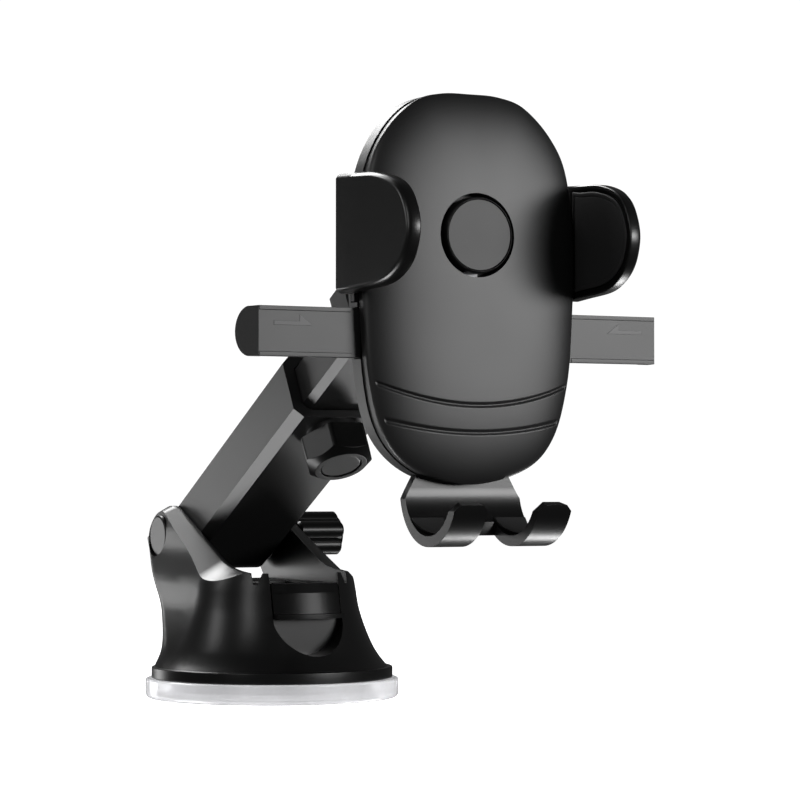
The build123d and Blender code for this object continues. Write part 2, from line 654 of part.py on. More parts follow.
def ball_stud():
    """Ball on a neck that is pressed into the head."""
    start = Vector(*arm_point(0, 0, HEAD_START + HEAD_LENGTH - 3))
    ball = Vector(0, BALL_Y, BALL_Z)
    way = (ball - start).normalized()
    body = Pos(*ball) * Sphere(BALL_R)
    return body + rod(BALL_NECK_R, tuple(start + way * 0.6), tuple(ball))


# ================================================================ ball joint shells
def ball_at(radius):
    """Sphere about the ball's centre."""
    return Pos(0, BALL_Y, BALL_Z) * Sphere(radius)


def y_rod(radius, y0, y1, x=0.0, z=BALL_Z):
    """Cylinder along Y."""
    return rod(radius, (x, y0, z), (x, y1, z))


def build_ball_joint():
    """Split liner and ribbed nut around the ball."""
    front = BALL_Y - BALL_R * 0.62
    back = BALL_Y + BALL_R * sin(radians(LINER_EDGE_DEG))
    liner = ball_at(BALL_R + LINER_T) - ball_at(BALL_R + RUN)
    liner &= y_rod(20, back, front)
    save("ball_liner", liner)

    r_in = BALL_R + LINER_T + RUN
    nut_back = BALL_Y + 4.2
    nut_front = nut_back - NUT_LENGTH
    nut = y_rod(NUT_R, nut_back, nut_front)
    for k in range(NUT_RIBS):
        angle = 2 * pi * k / NUT_RIBS
        x = NUT_R * cos(angle)
        z = BALL_Z + NUT_R * sin(angle)
        nut += y_rod(NUT_RIB_R, nut_back - 1.2, nut_front, x, z)
    nut &= cone(NUT_R - 1.0, NUT_R + 3, (0, nut_back, BALL_Z), (0, nut_back - 3.4, BALL_Z)) + y_rod(
        NUT_R + 3, nut_back - 3.4, nut_front)
    nut -= ball_at(r_in)
    nut -= y_rod(SOCKET_R + RUN, BALL_Y - 0.6, nut_front - 1)
    nut -= cone(BALL_R - 0.9, BALL_R + 4.6, (0, nut_back - 1.0, BALL_Z), (0, nut_back + 4.0, BALL_Z))
    nut -= y_rod(BALL_R - 0.9, nut_back + 1, BALL_Y)
    save("ball_nut", nut)


# ================================================================ cradle case
def outline(y, inset=0.0):
    """Case outline as a face facing the user at one depth."""
    mid = (CASE_TOP_Z + CASE_LOW_Z) / 2
    sx = 1 - inset / CASE_HALF_X
    sz = 1 - inset / ((CASE_TOP_Z - CASE_LOW_Z) / 2)
    right = [(x * sx, mid + (z - mid) * sz) for x, z in CASE_OUTLINE]
    left = [(-x, z) for x, z in reversed(right[1:-1])]
    face = make_face(Spline(right + left, periodic=True))
    return Plane.XZ.offset(-y) * face


def case_slab(y_back, y_front, inset=0.0):
    """Straight slice of the case between two depths."""
    return extrude(outline(y_back, inset), y_back - y_front)


def dome(inset=0.0):
    """Crowned front of the case in facets, closed at the frame's front plane."""
    faces = []
    for share in DOME_STEPS:
        depth = COVER_DEPTH * sqrt(1 - share ** 3)
        faces.append(outline(FRAME_FRONT_Y - depth + inset, inset + (1 - share) * CASE_HALF_X))
    return loft(faces, ruled=True)


def slot_cutter(z_low, z_high):
    """Side openings that the wings and jaws run through."""
    return box(-80, 80, SLIDER_BACK_Y + SLIDE, SLIDER_FRONT_Y - SLIDE, z_low - SLIDE, z_high + SLIDE)


def back_housing():
    """Rear shell with the ball socket and the slider rails."""
    shell = case_slab(CASE_RIM_Y, CASE_SEAM_Y)
    shell += loft([outline(CASE_RIM_Y), outline(CASE_BACK_Y, 2.6)], ruled=True)
    shell -= case_slab(SLIDER_BACK_Y + SLIDE, CASE_SEAM_Y - 1, CASE_WALL)
    shell -= slot_cutter(WING_LOW_Z, WING_HIGH_Z)
    shell -= slot_cutter(CROSS_LOW_Z, CROSS_HIGH_Z)
    shell -= foot_slot()
    socket = y_rod(SOCKET_R, CASE_BACK_Y - 1.5, BALL_Y - 1.0)
    shell += socket
    shell -= ball_at(BALL_R + LINER_T + RUN)
    shell += y_rod(PINION_PIN_R + 1.6, SLIDER_BACK_Y + SLIDE + 1, SLIDER_BACK_Y + 0.05, 0, PINION_Z)
    shell -= y_rod(PINION_PIN_R + EPS, CASE_BACK_Y - 1.6, -130, 0, PINION_Z)
    for x, z in SCREW_SPOTS:
        shell += y_rod(SCREW_BOSS_R, SLIDER_BACK_Y + 1, CASE_SEAM_Y, x, z)
        shell -= y_rod(SCREW_R + EPS, -105, -125, x, z)
        shell -= y_rod(SCREW_HEAD_R + FIT, -105, CASE_BACK_Y - SCREW_HEAD_T - 0.3, x, z)
    return shell


def foot_slot():
    """Opening at the bottom of the case that the foot slides through."""
    half = FOOT_NECK_X + 1.1
    return box(-half, half, FOOT_BACK_Y + SLIDE, FOOT_BACK_Y - FOOT_T - SLIDE, 50, 76)


def mid_frame():
    """Ring and web between the shells; the web keeps the sliders in."""
    body = case_slab(CASE_SEAM_Y - EPS, FRAME_FRONT_Y + EPS, SEAM_STEP)
    body -= case_slab(CASE_SEAM_Y - 1.6, FRAME_FRONT_Y - 1, CASE_WALL + SEAM_STEP)
    body -= slot_cutter(WING_LOW_Z, CROSS_HIGH_Z)
    body -= y_rod(BUTTON_STEM_R + SLIDE, -110, -130, 0, BUTTON_Z)
    body -= y_rod(PINION_PIN_R + EPS, -110, -130, 0, PINION_Z) & box(-5, 5, -117.9, -110, 110, 140)
    web_front = CASE_SEAM_Y - 1.6
    for side in (-1, 1):
        inner = LATCH_HALF_X + SLIDE
        ear = box(side * inner, side * (inner + 1.6), web_front + 0.5, LATCH_PIVOT_Y - 1.5,
                  LATCH_PIVOT_Z - 1.6, LATCH_PIVOT_Z + 1.6)
        body += ear
    body -= rod(LATCH_PIN_R + EPS, (-10, LATCH_PIVOT_Y, LATCH_PIVOT_Z), (10, LATCH_PIVOT_Y, LATCH_PIVOT_Z))
    body -= box(-LATCH_HALF_X - SLIDE, LATCH_HALF_X + SLIDE, -110, -119, LATCH_LOW_Z - 1.2, LATCH_LOW_Z + 2.2)
    for x, z in SCREW_SPOTS:
        body += y_rod(SCREW_BOSS_R, CASE_SEAM_Y - 0.5, FRAME_FRONT_Y + EPS, x, z)
        body -= y_rod(SCREW_R + EPS, -105, -125, x, z)
    return body


def groove_bands():
    """Curved bands that cut the two smile lines into the cover."""
    bands = []
    for edge_z, low_z in GROOVES:
        sag = edge_z - low_z
        half = 34.0
        radius = (half ** 2 + sag ** 2) / (2 * sag)
        centre = low_z + radius
        band = y_rod(radius + GROOVE_W / 2, -118, -130, 0, centre)
        band -= y_rod(radius - GROOVE_W / 2, -117, -131, 0, centre)
        inside = extrude(outline(CASE_SEAM_Y, GROOVE_END), GROOVE_RUN)
        bands.append(band & inside & box(-40, 40, -131, -117, 60, edge_z + 4))
    return bands


def front_cover():
    """Domed cover with the button hole and two curved grooves."""
    body = dome() - dome(CASE_WALL)
    body -= y_rod(BUTTON_HOLE_R, -110, -135, 0, BUTTON_Z)
    floor = dome(GROOVE_D)
    for band in groove_bands():
        body -= band - floor
    for x, z in SCREW_SPOTS:
        body += y_rod(SCREW_BOSS_R, FRAME_FRONT_Y - EPS, SCREW_TIP_Y - 1.2, x, z) & dome(CASE_WALL * 0.5)
        body -= y_rod(SCREW_R + EPS, -105, SCREW_TIP_Y - EPS, x, z)
    return max(body.solids(), key=lambda solid: solid.volume)


# ================================================================ sliders and jaws
def rack_teeth(z_pitch, side, x0, x1, y_back, y_front):
    """Row of straight teeth hanging from one pitch line; side is +1 above, -1 below."""
    pitch = 2 * pi * PINION_PITCH_R / PINION_TEETH
    lean = tan(radians(PRESSURE_DEG))
    half = pitch / 4 - TOOTH_BACKLASH / 2
    teeth = None
    first = int(x0 / pitch)
    last = int(x1 / pitch)
    for k in range(first, last + 1):
        x = (k + 0.5) * pitch
        root = z_pitch + side * TOOTH_DEDENDUM
        tip = z_pitch - side * TOOTH_ADDENDUM
        wide = half + TOOTH_DEDENDUM * lean
        thin = half - TOOTH_ADDENDUM * lean
        tooth = front_prism([(x - wide, root), (x - thin, tip), (x + thin, tip), (x + wide, root)],
                            y_back, y_front)
        teeth = tooth if teeth is None else teeth + tooth
    return teeth


def pinion():
    """Twelve-tooth pinion that keeps the two sliders in step."""
    module = 2 * PINION_PITCH_R / PINION_TEETH
    base_r = PINION_PITCH_R * cos(radians(PRESSURE_DEG))
    tip_r = PINION_PITCH_R + TOOTH_ADDENDUM
    root_r = PINION_PITCH_R - TOOTH_DEDENDUM
    step = 2 * pi / PINION_TEETH
    half_pitch = (pi * module / 2 - TOOTH_BACKLASH) / (2 * PINION_PITCH_R)
    inv0 = tan(radians(PRESSURE_DEG)) - radians(PRESSURE_DEG)
    flank = []
    for n in range(5):
        r = base_r + (tip_r - base_r) * n / 4
        a = 0.0 if r <= base_r else atan2(sqrt(r * r - base_r * base_r), base_r)
        flank.append((r, half_pitch + inv0 - (tan(a) - a)))
    points = []
    for k in range(PINION_TEETH):
        mid = pi / 2 + k * step
        left = [(root_r, flank[0][1])] + flank
        for r, a in left:
            points.append((r * cos(mid - a), PINION_Z + r * sin(mid - a)))
        for r, a in reversed(left):
            points.append((r * cos(mid + a), PINION_Z + r * sin(mid + a)))
    body = front_prism(points, SLIDER_BACK_Y - 0.1, SLIDER_FRONT_Y + 0.1)
    return body - y_rod(PINION_PIN_R + RUN, -110, -125, 0, PINION_Z)


def slider(side, layer):
    """Wing bar, crossing plate and rack. side is the wing's side, layer is back or front."""
    mid_y = (SLIDER_BACK_Y + SLIDER_FRONT_Y) / 2
    if layer == "back":
        y0, y1 = SLIDER_BACK_Y, mid_y + 0.06
    else:
        y0, y1 = mid_y - 0.06, SLIDER_FRONT_Y
    case_x = CASE_HALF_X - CASE_WALL
    wing_inner = JAW_TRAVEL / 2 + 0.5
    low = WING_LOW_Z
    high = WING_HIGH_Z
    body = box(-WING_END_X, -(case_x + 0.5), SLIDER_BACK_Y, SLIDER_FRONT_Y, low, high)
    body += box(-(case_x + 1), -wing_inner, y0, y1, low, high)
    body += box(-(case_x - 4.0), -wing_inner, y0, y1, high - 1, CROSS_LOW_Z + 5)
    plate_left = -(case_x - 1.2)
    plate_right = JAW_INNER_ROOT_X
    body += box(plate_left, plate_right, y0, y1, CROSS_LOW_Z, CROSS_HIGH_Z)
    win_low = PINION_Z - PINION_PITCH_R - 2.6
    win_high = PINION_Z + PINION_PITCH_R + 2.6
    win_left = plate_left + 2.2
    win_right = PINION_PITCH_R + 3.0
    rack_side = 1 if layer == "back" else -1
    edge = PINION_Z + rack_side * (PINION_PITCH_R + TOOTH_DEDENDUM)
    if rack_side > 0:
        win_high = edge
    else:
        win_low = edge
    body -= box(win_left, win_right, y0 + 1, y1 - 1, win_low, win_high)
    pitch_line = PINION_Z + rack_side * PINION_PITCH_R
    body += rack_teeth(pitch_line, rack_side, win_left + 1.5, win_right - 2.0, y0, y1)
    # tab that the jaw spring pulls
    tab_x = JAW_SPRING_X + EPS
    tab_front = max(y1, CASE_SEAM_Y + FIT)
    body += box(tab_x, tab_x + SPRING_TAB, y0, tab_front, CROSS_HIGH_Z - 1, JAW_SPRING_Z + 2.4)
    # wing: raised edge lines and a thicker, hollowed finger pad
    rib_back = SLIDER_FRONT_Y + EPS
    rib_front = SLIDER_FRONT_Y - WING_EDGE_T / 2
    rib_end = -(case_x + 3)
    body += box(-WING_END_X, rib_end, rib_back, rib_front, low, low + WING_EDGE_H)
    body += box(-WING_END_X, rib_end, rib_back, rib_front, high - WING_EDGE_H, high)
    # finger flange at the end of the wing, turned back and hollowed on its outer face
    flange_x = WING_END_X - WING_FLANGE_T + 0.8
    mid_z = (low + high) / 2
    side_view = closed(
        Line((SLIDER_FRONT_Y, low), (SLIDER_FRONT_Y, high)),
        Line((SLIDER_FRONT_Y, high), (WING_FLANGE_ROUND_Y, high)),
        ThreePointArc((WING_FLANGE_ROUND_Y, high), (WING_FLANGE_BACK_Y, mid_z), (WING_FLANGE_ROUND_Y, low)),
        Line((WING_FLANGE_ROUND_Y, low), (SLIDER_FRONT_Y, low)),
    )
    flange = Pos(-WING_FLANGE_X, 0, 0) * extrude(Plane.YZ * side_view, WING_FLANGE_X - flange_x)
    radius = (WING_HOLLOW_HALF ** 2 + WING_HOLLOW ** 2) / (2 * WING_HOLLOW)
    flange -= Pos(-WING_FLANGE_X + WING_HOLLOW - radius, WING_HOLLOW_Y, mid_z) * Sphere(radius)
    lean = WING_FLANGE_X - WING_END_X
    flange -= front_wedge(-WING_FLANGE_X, lean)
    body += flange
    if side > 0:
        body = mirror(body, about=Plane.YZ)
    return body


def front_wedge(x, lean):
    """Wedge that leans the flange's outer face inwards at the front."""
    points = [(x - 5, -130), (x + lean * 2.0, -130), (x, WING_FLANGE_BACK_Y), (x - 5, WING_FLANGE_BACK_Y)]
    face = make_face(Polyline(*points, close=True))
    return Pos(0, 0, 90) * extrude(face, 30)


def jaw_outline():
    """Side outline of a jaw: falling top, round front, slanted underside."""
    return closed(
        Line((JAW_BACK_Y, JAW_HIGH_Z), JAW_CURVE[0]),
        Spline(JAW_CURVE, tangents=[(-1, -0.09), (1, -0.07)]),
        Line(JAW_CURVE[-1], (JAW_BACK_Y, JAW_LOW_Z)),
        Line((JAW_BACK_Y, JAW_LOW_Z), (JAW_BACK_Y, JAW_HIGH_Z)),
    )


def jaw_slab(outer_root, outer_tip, inner_root, inner_tip):
    """Leaning slab that gives the jaw its faces; x grows outwards."""
    root = SLIDER_BACK_Y + 3
    tip = JAW_TIP_Y - 3
    points = [(inner_root, root), (outer_root, root), (outer_tip, tip), (inner_tip, tip)]
    face = make_face(Polyline(*points, close=True))
    return Pos(0, 0, 90) * extrude(face, 80)


def inset_curve(points, margin):
    """Points moved inwards, square to the curve that they follow."""
    moved = []
    for n in range(1, len(points) - 1):
        dy = points[n + 1][0] - points[n - 1][0]
        dz = points[n + 1][1] - points[n - 1][1]
        length = sqrt(dy * dy + dz * dz)
        moved.append((points[n][0] - margin * dz / length, points[n][1] + margin * dy / length))
    return moved


def jaw_pad_face(margin):
    """Outline of the jaw's rubber pad, inset from the jaw's own outline."""
    whole = [(JAW_BACK_Y, JAW_HIGH_Z)] + JAW_CURVE + [(JAW_BACK_Y, JAW_LOW_Z)]
    curve = inset_curve(whole, margin)
    slope_top = (JAW_HIGH_Z - JAW_CURVE[0][1]) / (JAW_BACK_Y - JAW_CURVE[0][0])
    slope_low = (JAW_CURVE[-1][1] - JAW_LOW_Z) / (JAW_BACK_Y - JAW_CURVE[-1][0])
    top = (JAW_PAD_BACK_Y, curve[0][1] + slope_top * (JAW_PAD_BACK_Y - curve[0][0]))
    low = (JAW_PAD_BACK_Y, curve[-1][1] - slope_low * (JAW_PAD_BACK_Y - curve[-1][0]))
    return closed(
        Line(top, curve[0]),
        Spline(curve, tangents=[(-1, -slope_top), (1, -slope_low)]),
        Line(curve[-1], low),
        Line(low, top),
    )


def jaw_pad(side_clear=0.0):
    """Rubber pad on the jaw's inner face."""
    prism = Pos(25, 0, 0) * extrude(Plane.YZ * jaw_pad_face(JAW_PAD_MARGIN - side_clear), 20)
    proud = JAW_PAD_T - JAW_PAD_SINK
    inner_root = JAW_INNER_ROOT_X - proud - side_clear * 2
    inner_tip = JAW_INNER_TIP_X - proud - side_clear * 2
    sink = JAW_PAD_SINK - EPS + (EPS if side_clear else 0.0)
    return prism & jaw_slab(JAW_INNER_ROOT_X + sink, JAW_INNER_TIP_X + sink, inner_root, inner_tip)


def right_jaw():
    """Clamping jaw on the right, with a recess for its rubber pad."""
    prism = Pos(25, 0, 0) * extrude(Plane.YZ * jaw_outline(), 20)
    body = prism & jaw_slab(JAW_OUTER_ROOT_X, JAW_OUTER_TIP_X, JAW_INNER_ROOT_X, JAW_INNER_TIP_X)
    body += box(JAW_INNER_ROOT_X + EPS, JAW_INNER_ROOT_X + JAW_TAB_T, SLIDER_BACK_Y, JAW_BACK_Y - 1,
                CROSS_LOW_Z + 3, CROSS_HIGH_Z)
    body -= box(0, JAW_INNER_ROOT_X + EPS, SLIDER_BACK_Y + 1, SLIDER_FRONT_Y - 0.3,
                CROSS_LOW_Z - 1, CROSS_HIGH_Z + 1)
    return body - jaw_pad(JAW_PAD_CLEAR)


def release_button():
    """Round button with a chamfered face, and its guide stem."""
    body = y_rod(BUTTON_R, BUTTON_BACK_Y, BUTTON_EDGE_Y, 0, BUTTON_Z)
    body += cone(BUTTON_R, BUTTON_FACE_R, (0, BUTTON_EDGE_Y, BUTTON_Z), (0, BUTTON_FACE_Y, BUTTON_Z))
    stem_end = CASE_SEAM_Y - 1.75
    return body + y_rod(BUTTON_STEM_R, BUTTON_BACK_Y - 0.5, stem_end, 0, BUTTON_Z)


def latch():
    """Rocking latch: the button pushes its top, its hook holds a slider open."""
    y = LATCH_PIVOT_Y
    z = LATCH_PIVOT_Z
    t = LATCH_T
    hook_y = SLIDER_FRONT_Y - 0.3
    push_y = BUTTON_BACK_Y + 0.1
    body = side_prism([
        (y + 1.0, z), (push_y + t, LATCH_TOP_Z), (push_y, LATCH_TOP_Z), (push_y, LATCH_TOP_Z - 0.9),
        (y - 0.7, LATCH_TOP_Z - 2.4), (y - 1.2, z),
        (y - t, LATCH_LOW_Z - 0.6), (hook_y, LATCH_LOW_Z - 0.6), (hook_y, LATCH_LOW_Z + 0.5),
        (y + 0.1, LATCH_LOW_Z + 1.4),
    ], -LATCH_HALF_X, LATCH_HALF_X)
    body += rod(LATCH_PIN_R + 0.8, (-LATCH_HALF_X, y, z), (LATCH_HALF_X, y, z))
    return body - rod(LATCH_PIN_R + RUN, (-10, y, z), (10, y, z))


def foot():
    """Stem, plate and two hooks bent from one sheet."""
    back = FOOT_BACK_Y
    front = back - FOOT_T
    centre = (front - HOOK_R, HOOK_Z)
    outer = HOOK_R + FOOT_T
    tip = radians(180) + atan2(HOOK_Z - HOOK_TIP_Z, sqrt(HOOK_R ** 2 - (HOOK_Z - HOOK_TIP_Z) ** 2))
    ends = [(centre[0] + r * cos(tip), centre[1] + r * sin(tip)) for r in (HOOK_R, outer)]
    sheet = closed(
        Line((back, HOOK_Z), (back, FOOT_STEM_TOP_Z)),
        Line((back, FOOT_STEM_TOP_Z), (front, FOOT_STEM_TOP_Z)),
        Line((front, FOOT_STEM_TOP_Z), (front, HOOK_Z)),
        ThreePointArc((front, HOOK_Z), (centre[0], HOOK_Z - HOOK_R), ends[0]),
        Line(ends[0], ends[1]),
        ThreePointArc(ends[1], (centre[0], HOOK_Z - outer), (back, HOOK_Z)),
    )
    body = Pos(-FOOT_HALF_X, 0, 0) * extrude(Plane.YZ * sheet, 2 * FOOT_HALF_X)
    right = [(0, 100), (FOOT_STEM_X, 100), (FOOT_STEM_X, FOOT_NECK_Z), (FOOT_NECK_X, FOOT_NECK_Z),
             (FOOT_NECK_X, FOOT_NECK_LOW_Z), (FOOT_HALF_X, FOOT_WIDE_Z), (FOOT_HALF_X, 40), (0, 40)]
    body &= both(front_prism(right, -100, -160))
    body -= box(-HOOK_INNER_X, HOOK_INNER_X, HOOK_GAP_Y, -170, 40, 70)
    for edge_x, way in ((HOOK_INNER_X, 1), (FOOT_HALF_X, -1)):
        c = HOOK_CORNER
        corner = [(edge_x - way, HOOK_TIP_Z + 3), (edge_x + way * c, HOOK_TIP_Z + 3),
                  (edge_x + way * c, HOOK_TIP_Z), (edge_x, HOOK_TIP_Z - c), (edge_x - way, HOOK_TIP_Z - c)]
        body -= both(front_prism(corner, centre[0] - 6, -170))
    return body


def foot_pads():
    """Half-moon rubber pads on the back wall of each hook."""
    centre_y = FOOT_BACK_Y - FOOT_T - HOOK_R
    moon = y_rod(FOOT_PAD_R, -110, centre_y, FOOT_PAD_X, FOOT_PAD_Z)
    moon &= box(0, 40, -100, centre_y, 40, FOOT_PAD_Z)
    shell = rod(HOOK_R - EPS, (0, centre_y, HOOK_Z), (40, centre_y, HOOK_Z))
    shell -= rod(HOOK_R - FOOT_PAD_T, (-1, centre_y, HOOK_Z), (41, centre_y, HOOK_Z))
    return both(moon & shell)


def build_cradle():
    """Case, sliders, jaws, button and foot."""
    save("back_housing", back_housing())
    save("mid_frame", mid_frame())
    save("front_cover", front_cover())
    screws = []
    for x, z in SCREW_SPOTS:
        head = y_rod(SCREW_HEAD_R, CASE_BACK_Y - 0.3, CASE_BACK_Y - SCREW_HEAD_T - 0.3 + EPS, x, z)
        screws.append(head + y_rod(SCREW_R, CASE_BACK_Y - 1.0, SCREW_TIP_Y, x, z))
    save("case_screws", Compound(children=screws))

    save("left_wing_slider", slider(-1, "back"))
    save("right_wing_slider", slider(1, "front"))
    save("right_jaw", right_jaw())
    save("left_jaw", mirror(right_jaw(), about=Plane.YZ))
    save("right_jaw_pad", jaw_pad())
    save("left_jaw_pad", mirror(jaw_pad(), about=Plane.YZ))
    save("pinion", pinion())
    save("pinion_pin", y_rod(PINION_PIN_R, CASE_BACK_Y - 1.6 - EPS, -117.8, 0, PINION_Z))
    mid_y = (SLIDER_BACK_Y + SLIDER_FRONT_Y) / 2
    ends = (-JAW_SPRING_X, mid_y, JAW_SPRING_Z), (JAW_SPRING_X, mid_y, JAW_SPRING_Z)
    save("jaw_spring", ring(JAW_SPRING_R, JAW_SPRING_R - JAW_SPRING_WIRE, *ends))

    save("release_button", release_button())
    spring = y_rod(BUTTON_SPRING_R, BUTTON_BACK_Y + EPS, BUTTON_BACK_Y + 2.2, 0, BUTTON_Z)
    spring -= y_rod(BUTTON_SPRING_R - BUTTON_SPRING_WIRE, BUTTON_BACK_Y - 1, BUTTON_BACK_Y + 3, 0, BUTTON_Z)
    save("button_spring", spring)
    save("latch", latch())
    pin_x = LATCH_HALF_X + SLIDE + 1.6
    pin_ends = (-pin_x, LATCH_PIVOT_Y, LATCH_PIVOT_Z), (pin_x, LATCH_PIVOT_Y, LATCH_PIVOT_Z)
    save("latch_pin", rod(LATCH_PIN_R, *pin_ends))

    save("foot", foot())
    save("foot_pads", foot_pads())


build_base()
save("lock_lever", lock_lever())
build_side_knob()
build_arm()
build_ball_joint()
build_cradle()
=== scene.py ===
"""Looks of a car phone mount, built around its packed mechanical frame.

Metres, with +Z up and -Y towards the user. The origin is the centre of the gel pad's sticky face.
"""

import json
import logging
import math
from dataclasses import dataclass, field
from enum import Enum
from typing import Iterable, Sequence

import bmesh
import bpy
import numpy as np
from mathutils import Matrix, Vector

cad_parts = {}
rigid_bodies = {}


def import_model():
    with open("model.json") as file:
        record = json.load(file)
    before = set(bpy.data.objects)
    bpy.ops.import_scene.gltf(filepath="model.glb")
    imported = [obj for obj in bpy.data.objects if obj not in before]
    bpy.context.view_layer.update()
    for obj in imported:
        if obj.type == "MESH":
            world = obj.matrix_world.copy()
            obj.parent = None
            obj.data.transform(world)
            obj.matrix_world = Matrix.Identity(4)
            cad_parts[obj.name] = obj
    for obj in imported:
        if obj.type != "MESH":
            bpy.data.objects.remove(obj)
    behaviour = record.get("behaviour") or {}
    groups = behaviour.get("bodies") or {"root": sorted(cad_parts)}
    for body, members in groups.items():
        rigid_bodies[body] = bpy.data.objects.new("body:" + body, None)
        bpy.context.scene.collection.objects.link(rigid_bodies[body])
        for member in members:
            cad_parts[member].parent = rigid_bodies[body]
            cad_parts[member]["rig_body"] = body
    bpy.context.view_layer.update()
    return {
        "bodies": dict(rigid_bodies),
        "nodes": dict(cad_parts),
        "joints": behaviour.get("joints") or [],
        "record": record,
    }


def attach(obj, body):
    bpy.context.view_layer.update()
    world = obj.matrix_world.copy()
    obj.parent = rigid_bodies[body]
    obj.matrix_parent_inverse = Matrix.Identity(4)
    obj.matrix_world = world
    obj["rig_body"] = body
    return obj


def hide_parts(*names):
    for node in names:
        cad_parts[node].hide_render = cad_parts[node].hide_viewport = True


LOG = logging.getLogger("phone_mount")
MM = 0.001
WELD = 0.000002                 # vertices closer than this are one
FLAT_ANGLE = math.radians(1.0)  # faces that meet at less are one flat face


# ------------------------------------------------------------------ finishes
class Gloss(Enum):
    """How shiny a moulded surface is."""

    MATT = 0.62
    SATIN = 0.42
    SEMI = 0.30


@dataclass(frozen=True)
class MouldedPlastic:
    """Injection-moulded black plastic with a fine spark-eroded grain.

    Args:
        name: Material name.
        grey: Linear base grey.
        gloss: How shiny the surface is.
        grain: Height of the grain, in metres.
        specular: Specular level of the Principled shader.
    """

    name: str
    grey: float
    gloss: Gloss
    grain: float = 0.00002
    specular: float = 0.5

    def make(self) -> bpy.types.Material:
        """Build the material.

        Returns:
            The finished material.
        """
        material, nodes, links, shader = blank_material(self.name)
        surface = mottled(nodes, links, grain=2600.0, cloud=34.0, roughness=self.gloss.value, spread=0.05)
        tint = clouded(nodes, links, surface, grey_colour(self.grey * 0.9), grey_colour(self.grey * 1.1))
        links.new(tint.outputs["Result"], shader.inputs["Base Color"])
        links.new(surface.outputs["Roughness"], shader.inputs["Roughness"])
        bump = bumped(nodes, links, surface.outputs["Grain"], strength=0.35, distance=self.grain)
        links.new(bump.outputs["Normal"], shader.inputs["Normal"])
        shader.inputs["Specular IOR Level"].default_value = self.specular
        return material


@dataclass(frozen=True)
class ClearGel:
    """Tacky see-through gel, slightly milky, with shallow ripples.

    Args:
        name: Material name.
        grey: Linear tint of the gel.
        glow: Strength of the light that stands for what scatters inside the gel.
    """

    name: str
    grey: float
    glow: float = 0.22

    def make(self) -> bpy.types.Material:
        """Build the material.

        Returns:
            The finished material.
        """
        material, nodes, links, shader = blank_material(self.name)
        surface = mottled(nodes, links, grain=240.0, cloud=60.0, roughness=0.14, spread=0.08)
        tint = clouded(nodes, links, surface, grey_colour(self.grey * 0.5), grey_colour(self.grey))
        links.new(tint.outputs["Result"], shader.inputs["Base Color"])
        # Painted glow: the gel gives off its own tint as light, standing in for light scattered inside it
        links.new(tint.outputs["Result"], shader.inputs["Emission Color"])
        shader.inputs["Emission Strength"].default_value = self.glow
        links.new(surface.outputs["Roughness"], shader.inputs["Roughness"])
        bump = bumped(nodes, links, surface.outputs["Cloud"], strength=0.5, distance=0.0003)
        links.new(bump.outputs["Normal"], shader.inputs["Normal"])
        shader.inputs["Transmission Weight"].default_value = 0.55
        shader.inputs["IOR"].default_value = 1.41
        return material


@dataclass(frozen=True)
class TurnedMetal:
    """Plain machined or drawn metal with fine turning marks.

    Args:
        name: Material name.
        colour: Linear colour.
        roughness: Middle roughness.
    """

    name: str
    colour: tuple[float, float, float]
    roughness: float = 0.3

    def make(self) -> bpy.types.Material:
        """Build the material.

        Returns:
            The finished material.
        """
        material, nodes, links, shader = blank_material(self.name)
        surface = mottled(nodes, links, grain=1800.0, cloud=120.0, roughness=self.roughness, spread=0.1)
        darker = (*[c * 0.85 for c in self.colour], 1.0)
        tint = clouded(nodes, links, surface, darker, (*self.colour, 1.0))
        links.new(tint.outputs["Result"], shader.inputs["Base Color"])
        links.new(surface.outputs["Roughness"], shader.inputs["Roughness"])
        bump = bumped(nodes, links, surface.outputs["Grain"], strength=0.2, distance=0.00002)
        links.new(bump.outputs["Normal"], shader.inputs["Normal"])
        shader.inputs["Metallic"].default_value = 1.0
        return material


def grey_colour(value: float) -> tuple[float, float, float, float]:
    """Opaque neutral colour, a touch cool as carbon-black plastic is."""
    return (value, value, value * 1.02, 1.0)


def blank_material(name: str) -> tuple:
    """Material with only a Principled shader.

    Args:
        name: Material name.

    Returns:
        The material, its nodes, its links and the shader node.
    """
    material = bpy.data.materials.new(name)
    material.use_nodes = True
    tree = material.node_tree
    return material, tree.nodes, tree.links, tree.nodes["Principled BSDF"]


def coordinates(nodes: bpy.types.Nodes) -> bpy.types.Node:
    """Texture coordinate node."""
    return nodes.new("ShaderNodeTexCoord")


def place_group(nodes: bpy.types.Nodes, tree: bpy.types.NodeTree) -> bpy.types.Node:
    """Instance of a node group."""
    node = nodes.new("ShaderNodeGroup")
    node.node_tree = tree
    return node


def mottled(nodes: bpy.types.Nodes, links: bpy.types.NodeLinks, grain: float, cloud: float,
            roughness: float, spread: float) -> bpy.types.Node:
    """Mottled surface group, set and tied to the object's coordinates.

    Args:
        nodes: Nodes of the material.
        links: Links of the material.
        grain: Scale of the fine grain.
        cloud: Scale of the broad clouding.
        roughness: Middle roughness.
        spread: How much the clouding changes the roughness.

    Returns:
        The group node.
    """
    surface = place_group(nodes, mottled_surface_group())
    surface.inputs["Grain Scale"].default_value = grain
    surface.inputs["Cloud Scale"].default_value = cloud
    surface.inputs["Roughness"].default_value = roughness
    surface.inputs["Roughness Spread"].default_value = spread
    links.new(coordinates(nodes).outputs["Object"], surface.inputs["Position"])
    return surface


